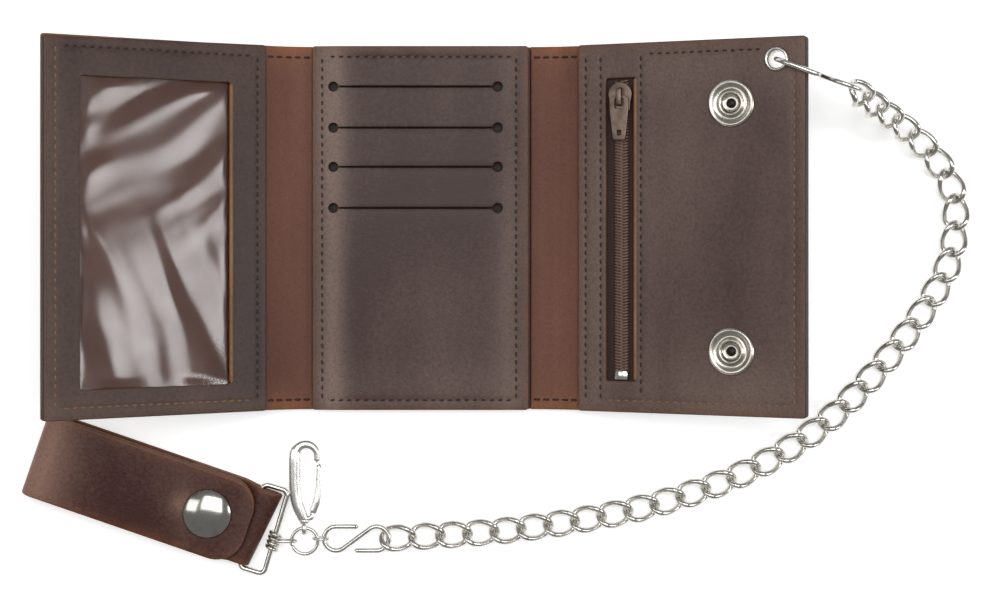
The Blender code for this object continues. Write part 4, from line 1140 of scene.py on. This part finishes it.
def zip_and_tape():
    x0, x1, y0, y1 = ZIP_OPENING
    tape = rounded(x0 - 0.004, x1 + 0.004, y0 - 0.004, y1 + 0.004, 0.001)
    hide_sheet(
        "zip_tape_cloth", [tape], TAPE_LOW, 0.0008, RIGHT, [ZIP_CLOTH] * 4, step=0.0022, edge=0.0002,
        body="right_panel", slot="zip_cloth", replaces=["zip_tape"],
    )
    coils = []
    pitch = 0.00092
    turns = int((y1 - y0 - 0.0012) / pitch)
    for side in (-1, 1):
        path = []
        for i in range(turns):
            y = y0 + 0.0008 + pitch * (i + (0.5 if side > 0 else 0.0))
            for reach, shift, rise in COIL_TURN:
                x, z = ZIP_MIDDLE + side * reach * MM, TAPE_TOP + 0.00020 + rise * 0.00085
                path.append((x, y + shift * pitch, z))
        coils.append(drawn_wire(path, 0.00031, sides=6))
    points, faces = joined(coils)
    piece("zip_coil", moved(points, RIGHT), faces, [COIL], "right_panel", "zip_cloth")
    for side in (-1, 1):
        x = ZIP_MIDDLE + side * 0.0026
        stitches = [((x, y0 + 0.0005), (x, y1 - 0.0005))]
        name = "zip_tape_left_seam" if side < 0 else "zip_tape_right_seam"
        seam(name, stitches, TAPE_TOP + 0.0002, RIGHT, DARK_THREAD, "right_panel", pitch=0.0016, thread=0.00013)
    stop_y = SLIDER_Y - 0.0800 - 0.0045 - 0.0003 - 0.0029
    half = 0.0023
    crimp = [
        (-half, 0.0), (-half, 0.0010), (-half + 0.0004, 0.00145),
        (half - 0.0004, 0.00145), (half, 0.0010), (half, 0.0),
    ]
    points, faces = bar(crimp, stop_y, stop_y + 0.0029, 0.0003)
    points = [(x + ZIP_MIDDLE, y, z + TAPE_TOP) for x, y, z in points]
    piece("zip_bottom_stop", moved(points, RIGHT), faces, [NICKEL], "right_panel", "nickel")
    slider()


def bar(section, y0, y1, edge):
    """A cross-section in X and Z drawn along Y, with softened ends."""
    centre = (sum(x for x, _ in section) / len(section), sum(z for _, z in section) / len(section))
    stations = [(y0, 1 - 0.10), (y0 + edge, 1.0), (y1 - edge, 1.0), (y1, 1 - 0.10)]
    points = []
    for y, share in stations:
        for x, z in section:
            points.append((centre[0] + (x - centre[0]) * share, y, centre[1] + (z - centre[1]) * share))
    count = len(section)
    faces = []
    for a in range(0, 3 * count, count):
        b = a + count
        faces += [(a + i, a + (i + 1) % count, b + (i + 1) % count, b + i) for i in range(count)]
    faces += [tuple(range(count))[::-1], tuple(range(3 * count, 4 * count))]
    return points, [f[::-1] for f in faces]


def slab(outline, low, high, edge, holes=()):
    """A plate with softened edges, from curves, as (points, faces)."""
    data = bpy.data.curves.new("slab", "CURVE")
    data.dimensions = "2D"
    data.fill_mode = "BOTH"
    data.bevel_depth = edge
    data.bevel_resolution = 3
    data.offset = -edge
    data.extrude = (high - low) / 2 - edge
    for loop in (outline, *holes):
        spline = data.splines.new("POLY")
        spline.points.add(len(loop) - 1)
        for point, (x, y) in zip(spline.points, loop):
            point.co = (x, y, 0.0, 1.0)
        spline.use_cyclic_u = True
    guide = bpy.data.objects.new("slab", data)
    bpy.context.scene.collection.objects.link(guide)
    graph = bpy.context.evaluated_depsgraph_get()
    mesh = bpy.data.meshes.new_from_object(guide.evaluated_get(graph))
    bpy.data.objects.remove(guide)
    work = bmesh.new()
    work.from_mesh(mesh)
    bmesh.ops.remove_doubles(work, verts=work.verts, dist=0.000002)
    bmesh.ops.recalc_face_normals(work, faces=work.faces)
    work.verts.ensure_lookup_table()
    points = [(v.co.x, v.co.y, v.co.z + (low + high) / 2) for v in work.verts]
    faces = [tuple(v.index for v in f.verts) for f in work.faces]
    work.free()
    bpy.data.meshes.remove(mesh)
    return points, faces


def slider():
    """The slider: a waisted body over the coil, a bridge on its back, and the tapered pull in the bridge."""
    spot = RIGHT @ Matrix.Translation((ZIP_MIDDLE, SLIDER_Y, TAPE_TOP + 0.0003))
    top = 0.0018 + 0.00065 - 0.0003
    shoulder = arc(0.0, 0.0008, 0.0038, 0, 90, 14)
    half = [(0.0028, -0.0045), (0.0032, -0.0040), (0.0033, -0.0020), (0.0036, -0.0002), *shoulder]
    outline = half + [(-x, y) for x, y in half[-2::-1]]
    plate = slab(outline, 0.00135, top, 0.00022)
    cheek = ((0.0027, -0.0042), (0.0031, -0.0030), (0.0034, -0.0002), (0.0035, 0.0014), (0.0028, 0.0028))
    cheeks = [slab([(s * x, y) for x, y in cheek][::s], 0.00005, 0.0015, 0.00012) for s in (1, -1)]
    swing = math.hypot(0.0007, 0.0008) / 2 + 0.00008
    roof = top + 2 * swing
    arch = [
        (0.0, -0.0027, top - 0.0002), (0.0, -0.00255, roof - 0.0001),
        (0.0, -0.0018, roof + 0.00022), (0.0, 0.0, roof + 0.00026),
    ]
    arch += [(x, -y, z) for x, y, z in arch[-2::-1]]
    bridge = drawn_wire(smooth_path(arch, 6), 0.00024, sides=12)
    bridge = ([(x * 3.6, y, z) for x, y, z in bridge[0]], bridge[1])
    points, faces = joined([plate, *cheeks, bridge])
    piece("zip_slider_body", moved(points, spot), faces, [BRONZE], "zip_slider", "bronze", ["zip_slider"])
    pull_spot = spot @ Matrix.Translation((0, 0, top + swing))
    right = [
        (0.0, 0.0004), (0.0019, 0.0004), (0.0029, -0.0006), (0.0031, -0.0018), (0.0030, -0.0040),
        (0.0027, -0.0070), (0.00225, -0.0110), (0.0020, -0.0128), (0.0015, -0.0133), (0.0, -0.0133),
    ]
    line = smooth_path([(x, y, 0.0) for x, y in right], 4)
    shape = [(x, y) for x, y, _ in line[1:]] + [(-x, y) for x, y, _ in line[-2:0:-1]]
    clear = 0.0015
    eye = rounded(-clear, clear, -0.0036, -0.0004, 0.0006)
    slot_hole = rounded(-0.0007, 0.0007, -0.0119, -0.0103, 0.0003)
    pull = slab(shape[::-1], -0.00035, 0.00035, 0.00014, [eye, slot_hole])
    piece("zip_pull_tab", moved(pull[0], pull_spot), pull[1], [BRONZE], "zip_pull", "bronze", ["zip_pull"])


# ======================================================================= chain, hooks and rings

LINK_WIRE, LINK_WIDTH, HOOK_WIRE = 0.0018, 0.0090, 0.0016
LINK_PLAY = 0.0001


def pointing(start, end, up=(0.0, 0.0, 1.0)):
    """A frame at start with X towards end and Z as near up as it can be."""
    along_x = (end - start).normalized()
    along_y = Vector(up).cross(along_x).normalized()
    place = Matrix((along_x, along_y, along_x.cross(along_y))).transposed().to_4x4()
    place.translation = start
    return place


def curb_link(pitch):
    """One twisted link, drawn smooth, from its meeting with the last one at x = 0."""
    far = (pitch + LINK_WIRE + LINK_PLAY) / 2
    end_radius = (LINK_WIDTH - LINK_WIRE) / 2
    straight = far - end_radius
    path = []
    for i in range(56):
        angle = 2 * math.pi * (i + 0.5) / 56
        shift = straight * max(-1.0, min(1.0, math.cos(angle) * 3.2))
        x, y = shift + end_radius * math.cos(angle), end_radius * math.sin(angle)
        twist = math.radians(40) * math.sin(math.pi / 2 * x / far)
        path.append((x + pitch / 2, y * math.cos(twist), y * math.sin(twist)))
    return drawn_wire(path, LINK_WIRE / 2, closed=True, sides=16)


def chain():
    names = [f"chain_link_{i:02d}" for i in range(1, 34)]
    starts = [joint_at[next(j["name"] for j in frame["joints"] if j["child"] == name)] for name in names]
    pitch = (starts[1] - starts[0]).length
    link, faces = curb_link(pitch)
    for name, start, end in zip(names, starts, starts[1:]):
        piece(f"{name}_curb", moved(link, pointing(start, end)), faces, [NICKEL], name, "nickel", [name])
    start, end = starts[-1], joint_at["strap_hook_turn"]
    middle = start + (end - start).normalized() * pitch
    first = (moved(link, pointing(start, middle)), faces)
    second = (moved(link, pointing(middle, end) @ Matrix.Translation((0.00062, 0, 0))), faces)
    piece("chain_link_33_curb", *joined([first, second]), [NICKEL], names[-1], "nickel", [names[-1]])


def hook_line(length, width):
    """The centre line of an S-shaped hook lying along X, with both ends turned back."""
    radius = (width - HOOK_WIRE) / 2
    centre = (length - HOOK_WIRE) / 2 - radius
    lean = math.degrees(math.asin(radius / centre))
    tip = 0.0011 - centre * 0.15
    half = [(tip + i * (-centre - 0.0011 + centre * 0.15) / 5, radius) for i in range(5)]
    half += arc(-centre, 0.0, radius, 90, 270 + lean, 26)
    last, other = half[-1], (-half[-1][0], -half[-1][1])
    slope = (other[0] - last[0], other[1] - last[1])
    middle = [(last[0] + slope[0] * i / 10, last[1] + slope[1] * i / 10) for i in range(1, 10)]
    return half + middle + [(-x, -y) for x, y in reversed(half)]


def small_eye(x_a, x_b, y, level, spare):
    """A thin oval link, upright along X, that holds two wires together."""
    centre, reach = (x_a + x_b) / 2, abs(x_a - x_b) / 2 + spare
    line = []
    for a in np.linspace(0, 2 * math.pi, 33)[:-1]:
        line.append((centre + reach * math.cos(a), y, level + 0.0015 * math.sin(a)))
    return drawn_wire(line, 0.0005, closed=True, sides=12)


def wallet_hook():
    inset, width = 0.0007, 0.0128
    centre = joint_at["wallet_hook_swing"]
    loop = (width - HOOK_WIRE) / 2
    first, second = joint_at["chain_link_01_bend"], joint_at["chain_link_02_turn"]
    far = first - (second - first).normalized() * (loop - (LINK_WIRE + LINK_PLAY) / 2)
    reach = (far - centre).length + loop + 0.00015
    length = reach + inset + HOOK_WIRE
    middle = (reach - inset) / 2
    line = [(x + middle, 0.0, y) for x, y in hook_line(length, width)]
    points, faces = drawn_wire(line, HOOK_WIRE / 2, sides=18)
    points = moved(points, pointing(centre, far, (-0.17, -0.10, 1.0)))
    piece("wallet_hook_wire", points, faces, [NICKEL], "wallet_hook", "nickel", ["wallet_hook"])


def strap_hook():
    end = joint_at["strap_hook_turn"]
    right = end.x + HOOK_WIRE / 2 + 0.0006
    half = (0.0220 - HOOK_WIRE) / 2
    level = end.z
    line = [(x + right - half, y + end.y, level) for x, y in hook_line(0.0220, 0.0092)]
    hook = drawn_wire(line, HOOK_WIRE / 2, sides=18)
    ring_wire = joint_at["jump_ring_tilt"].x
    points, faces = joined([hook, small_eye(right - 2 * half, ring_wire, end.y, level, 0.0013)])
    piece("strap_hook_wire", points, faces, [NICKEL], "strap_hook", "nickel", ["strap_hook"])


def jump_ring():
    low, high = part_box("jump_ring")
    centre = (low + high) / 2
    radius = (high.x - low.x - 0.0012) / 2
    slit = 0.03
    angles = np.linspace(slit, 2 * math.pi - slit, 60)
    line = [(centre.x + radius * math.cos(a), centre.y + radius * math.sin(a), centre.z) for a in angles]
    turn = Matrix.Rotation(math.radians(205), 4, "Z")
    line = [Matrix.Translation(centre) @ turn @ Matrix.Translation(-centre) @ Vector(p) for p in line]
    points, faces = drawn_wire(line, 0.0006, sides=14, blunt=True)
    piece("jump_ring_wire", points, faces, [NICKEL], "jump_ring", "nickel", ["jump_ring"])
    return centre


def trigger_clip(ring_centre):
    """A trigger clip: a flattened hook with an eye on the ring, and a sprung thumb gate."""
    eye = ring_centre + Vector((0.0, 0.0041, 0.0))
    body = [(0.0, 0.0018), (-0.0008, 0.0038), (-0.0023, 0.0078), (-0.0030, 0.0130), (-0.0031, 0.0205)]
    hooked = arc(0.0004, 0.0228, 0.0035, 165, 15, 8) + [(0.0039, 0.0212)]
    line = smooth_path([(x, y, 0.0) for x, y in body + hooked], 6)
    count = len(line)
    stations, sizes = (0.0, 0.12, 0.30, 0.50, 0.70, 1.0), (1.0, 1.35, 1.40, 1.05, 0.95, 0.70)
    scales = [float(np.interp(i / (count - 1), stations, sizes)) for i in range(count)]
    hook = drawn_wire(line, 0.00145, sides=18, scales=scales, flat=((0, 0, 1), 0.74))
    loop = [(0.0, 0.0018 * math.cos(a), 0.0018 * math.sin(a)) for a in np.linspace(0, 2 * math.pi, 37)[:-1]]
    ring = drawn_wire(loop, 0.00075, closed=True, sides=14)
    elbow = [(-0.0006, 0.0027, 0.0), (0.0006, 0.0029, 0.0), (0.0021, 0.0032, 0.0), (0.0026, 0.0044, 0.0)]
    arm = drawn_wire(elbow, 0.0009, sides=12)
    bead = [(0.0, 0.0), (0.0015, 0.0), (0.0017, 0.0004), (0.0017, 0.0010), (0.0013, 0.0014), (0.0, 0.0014)]
    upright = Matrix.Translation((0, 0.0016, 0)) @ Matrix.Rotation(-math.pi / 2, 4, "X")
    collar = turned(softened(bead, 0.0002), upright, 28)
    points, faces = joined([hook, ring, arm, collar])
    points = moved(points, Matrix.Translation(eye))
    piece("clip_hook", points, faces, [CLIP_NICKEL], "clip_body", "nickel", ["clip_body"])
    gate = smooth_path([(0.0, 0.0, 0.0), (0.0012, 0.0035, 0.0), (0.0017, 0.0080, 0.0), (0.0019, 0.0147, 0.0)], 6)
    sizes = np.interp(np.linspace(0, 1, len(gate)), [0, 0.3, 0.6, 1], [1.1, 1.15, 0.95, 0.75])
    points, faces = drawn_wire(gate, 0.00115, sides=14, scales=sizes, flat=((0, 0, 1), 0.8))
    points = moved(points, Matrix.Translation(eye + Vector((0.0026, 0.0050, 0.0))))
    piece("clip_thumb_gate", points, faces, [CLIP_NICKEL], "clip_gate", "nickel", ["clip_gate"])


STRAP_PLACE = Matrix.Translation((-0.0856, -0.0827, 0.0)) @ Matrix.Rotation(math.radians(-19), 4, "Z")
STRAP_FOLD = 0.0385
STRAP_LEATHER = 0.0015


def strap_ring(ring_centre):
    """The rectangular ring, and the close-wound coil on its far bar that joins it to the round ring."""
    wire = 0.0017
    inner_bar = Matrix.Translation((STRAP_FOLD - 0.00485, 0.0, 0.00085 + 0.0003 + STRAP_LEATHER))
    place = STRAP_PLACE @ inner_bar @ Matrix.Rotation(math.radians(2.5), 4, "Z")
    far, down = 0.0099 - wire, (0.0290 - wire) / 2
    line = [place @ Vector((x, y, 0.0)) for x, y in closely(rounded(0.0, far, -down, down, 0.0018, 8), 0.0015)]
    ring = drawn_wire(line, wire / 2, closed=True, sides=16)
    bar_point, lean = place @ Vector((far, 0.0, 0.0)), place.to_3x3() @ Vector((0.0, 1.0, 0.0))
    share = (ring_centre.y - bar_point.y) / lean.y
    middle = bar_point + lean * share
    across = lean.cross(Vector((0, 0, 1))).normalized()
    turns, wound = 3.5, []
    for i in range(int(turns * 20) + 1):
        a = 2 * math.pi * i / 20
        along = (i / (turns * 20) - 0.5) * 0.0052
        wound.append(middle + lean * along + (across * math.cos(a) + Vector((0, 0, 1)) * math.sin(a)) * 0.0016)
    coil = drawn_wire(wound, 0.00062, sides=10)
    pivot = joint_at["strap_ring_tilt"]
    link = small_eye(middle.x, pivot.x, pivot.y, pivot.z, 0.0014)
    piece("strap_ring_wire", *joined([ring, link]), [NICKEL], "strap_ring", "nickel", ["strap_ring"])
    piece("strap_ring_coil", *coil, [SOFT_NICKEL], "strap_ring", "nickel")


# ======================================================================= the belt strap

STRAP_HALF = 0.01325
BELT_GAP = 0.0050
STRAP_LEFT = -0.03785 + BELT_GAP / 2 + STRAP_LEATHER
FLAP_TIP, FLAP_CORNER = 0.0333, 0.0090
STRAP_SNAP_X = 0.0199


def necked(x, y):
    """The strap is cut narrower where it passes through its ring, and its fold is a little askew."""
    share = min(max((x - 0.0275) / 0.0045, 0.0), 1.0)
    y = y * (1.0 + share * (0.0247 / 0.0265 - 1.0))
    return x + share * 0.125 * y, y


def strap_strip(line, half_width, shape=None):
    """A strip of strap leather along a line in X and Z: (points, faces, kinds, rim)."""
    line = [Vector(p) for p in line]
    across = [-1.0, -0.985, -0.955] + list(np.linspace(-0.9, 0.9, 19)) + [0.955, 0.985, 1.0]
    count, wide = len(line), len(across)
    points, rim = [], []
    for face in (1, -1):
        for i, p in enumerate(line):
            along = (line[min(i + 1, count - 1)] - line[max(i - 1, 0)]).normalized()
            up = Vector((-along.y, along.x))
            reach = half_width(i) if callable(half_width) else half_width
            for s in across:
                at_edge = max(0.0, (abs(s) - 0.955) / 0.045)
                soft = 0.0004 * (1 - math.sqrt(max(0.0, 1 - at_edge**2)))
                at = p + up * face * (STRAP_LEATHER / 2 - soft)
                x, y = at.x, s * reach
                if shape:
                    x, y = shape(x, y)
                points.append((x, y, at.y))
                rim.append(math.exp(-(1 - abs(s)) * reach / 0.0014))
    layer = count * wide
    faces, kinds = [], []
    for i in range(count - 1):
        for k in range(wide - 1):
            a = i * wide + k
            quad = (a, a + wide, a + wide + 1, a + 1)
            faces += [quad, tuple(v + layer for v in quad)[::-1]]
            edge = abs(across[k] + across[k + 1]) / 2 > 0.97
            kinds += [2 if edge else 0, 2 if edge else 1]
    for a, b in border_of(wide, count):
        faces.append((a, b, b + layer, a + layer))
        kinds.append(2)
    return points, faces, kinds, rim


def strap_sheen_and_lightening(x, y):
    """Painted highlight over the fold that hangs on the belt, where it curves round; lighter too beside the cap
    and at the tip.
    """
    # painted highlight on the curve of the fold
    fold_sheen = 1.15 * math.exp(-(max(x - STRAP_LEFT, 0.0) / 0.0065))
    by_cap = 0.55 * math.exp(-(math.hypot(x - STRAP_SNAP_X + 0.0085, y) / 0.0038) ** 2)
    return fold_sheen + by_cap - 0.10 + 0.20 * bell(x, 0.033, 0.005)


def belt_strap():
    half = STRAP_LEATHER / 2
    bend = BELT_GAP / 2 + half
    layer = STRAP_LEATHER + 0.0003 + half
    turn = (0.0017 + STRAP_LEATHER) / 2 + 0.0003
    fold_x = STRAP_FOLD - turn - half
    under = evenly([(STRAP_LEFT + 0.004, half), (0.0320, half)], 0.0016)
    under += arc(fold_x, half + turn, turn, -90, 90, 18)[1:]
    under += evenly([(0.0320, half + 2 * turn), (0.0275, layer), (0.0090, layer)], 0.0016)
    points, faces, kinds, rim = strap_strip(under, STRAP_HALF, necked)
    piece(
        "strap_ring_end", moved(points, STRAP_PLACE), faces, [STRAP_BACK, STRAP, CUT_EDGE], "belt_strap",
        "strap_leather", ["belt_strap"], kinds, rim,
    )
    bottom = evenly([(STRAP_LEFT + 0.0038, half), (STRAP_LEFT, half)], 0.0016)
    around = arc(STRAP_LEFT, half + bend, bend, 270, 90, 26)
    flap_level = STRAP_LEATHER + BELT_GAP + half
    top = evenly([(STRAP_LEFT, flap_level), (FLAP_TIP - FLAP_CORNER, flap_level)], 0.0012)
    quarter = np.linspace(0, math.pi / 2, 18)[1:]
    tip = [(FLAP_TIP - FLAP_CORNER + FLAP_CORNER * math.sin(a), flap_level) for a in quarter]
    line = bottom[:-1] + around + top[1:] + tip
    first_tip = len(line) - len(tip)

    def reach(i):
        if i < first_tip:
            return STRAP_HALF
        a = (i - first_tip + 1) / len(tip) * math.pi / 2
        return max(STRAP_HALF - FLAP_CORNER * (1 - math.cos(a)), 0.0003)

    points, faces, kinds, rim = strap_strip(line, reach)
    outer = piece(
        "strap_loop", moved(points, STRAP_PLACE), faces, [STRAP, STRAP_BACK, CUT_EDGE], None, "strap_leather",
        ["strap_flap"], kinds, rim, [strap_sheen_and_lightening(x, y) for x, y, _ in points],
    )
    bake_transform(outer)
    snap = STRAP_PLACE @ Matrix.Translation((STRAP_SNAP_X, 0.0, STRAP_LEATHER + BELT_GAP))
    cap = [(r, STRAP_LEATHER + 0.0003 + z) for r, z in cap_profile(0.0019)]
    low = -BELT_GAP + STRAP_LEATHER + 0.0003
    body = [
        (0.0015, STRAP_LEATHER + 0.0003), (0.0015, -0.0003), (0.0049, -0.0003), (0.0049, low + 0.0014),
        (0.0033, low + 0.0014), (0.0033, -0.0009), (0.0, -0.0009),
    ]
    points, faces = turned(cap + body, snap, 64)
    piece("strap_cap", points, faces, [CAP_NICKEL], "strap_flap", "nickel", ["strap_snap_cap"])
    stud_spot = STRAP_PLACE @ Matrix.Translation((STRAP_SNAP_X, 0.0, layer + half))
    points, faces = turned(softened(stud_profile(0.0018, 0.0030), 0.0003), stud_spot)
    piece("strap_ball_stud", points, faces, [NICKEL], "belt_strap", "nickel", ["strap_snap_stud"])


# ======================================================================= the studio


CAMERA_PLACE = (0.0248, -0.00535, 0.570)
CAMERA_LENS = 64.74
CAMERA_SHIFT = -0.0549
TABLE_HALF, TABLE_LEVEL = 2.0, -0.0004
WHITE = (1.0, 1.0, 1.0, 1.0)


def studio():
    """A white table under three soft lights, seen from straight above."""
    floor, tree, shader = new_finish("white board")
    tone = node(tree, "ShaderNodeTexNoise", {"Vector": object_place(tree), "Scale": 9.0})
    board = mixed(tree, tone.outputs[0], colour(0.90, 0.90, 0.90), colour(0.93, 0.93, 0.93))
    fill(tree, shader, {"Base Color": board, "Roughness": 0.9})
    fill(tree, shader, {"Emission Color": board, "Emission Strength": 0.45})
    corners = [(x * TABLE_HALF, y * TABLE_HALF, 0) for x, y in ((-1, -1), (1, -1), (1, 1), (-1, 1))]
    table = piece("studio_floor", corners, [(0, 1, 2, 3)], [floor])
    table.location.z = TABLE_LEVEL
    world = bpy.data.worlds.new("studio")
    world.use_nodes = True
    fill(world.node_tree, world.node_tree.nodes["Background"], {"Color": WHITE, "Strength": 0.22})
    bpy.context.scene.world = world
    soft_light("overhead box", (0.05, 0.25, 1.30), (0.02, 0.0, 0.0), 1.0, 0.8, 9.0)
    soft_light("right box", (0.90, -0.05, 0.62), (-0.08, -0.01, 0.02), 0.25, 0.50, 2.7)
    soft_light("left box", (-0.75, 0.10, 0.80), (0.08, 0.0, 0.02), 0.45, 0.6, 1.8)
    camera = bpy.data.cameras.new("camera")
    camera.sensor_width = 36.0
    camera.lens = CAMERA_LENS
    camera.shift_y = CAMERA_SHIFT
    eye = bpy.data.objects.new("camera", camera)
    bpy.context.scene.collection.objects.link(eye)
    eye.location = CAMERA_PLACE
    bpy.context.scene.camera = eye
    bpy.context.scene.view_settings.view_transform = "Standard"


def soft_light(name, place, aim, width, height, power):
    """A rectangular area light that faces its aim."""
    data = bpy.data.lights.new(name, "AREA")
    data.shape = "RECTANGLE"
    data.size, data.size_y, data.energy = width, height, power
    lamp = bpy.data.objects.new(name, data)
    bpy.context.scene.collection.objects.link(lamp)
    lamp.location = place
    lamp.rotation_mode = "QUATERNION"
    lamp.rotation_quaternion = (Vector(place) - Vector(aim)).to_track_quat("Z", "Y")


centre_section()
fold("left_fold_leather", -1, LEFT_HINGE_Z, LEFT_TILT, LEFT_NEAR, "fold_left", 3.3)
fold("right_fold_leather", 1, RIGHT_HINGE_Z, -RIGHT_TILT, RIGHT_NEAR, "fold_right", 6.1)
left_section()
right_section()
zip_and_tape()
snaps_and_eyelet()
wallet_hook()
chain()
strap_hook()
ring_centre = jump_ring()
trigger_clip(ring_centre)
strap_ring(ring_centre)
belt_strap()
studio()
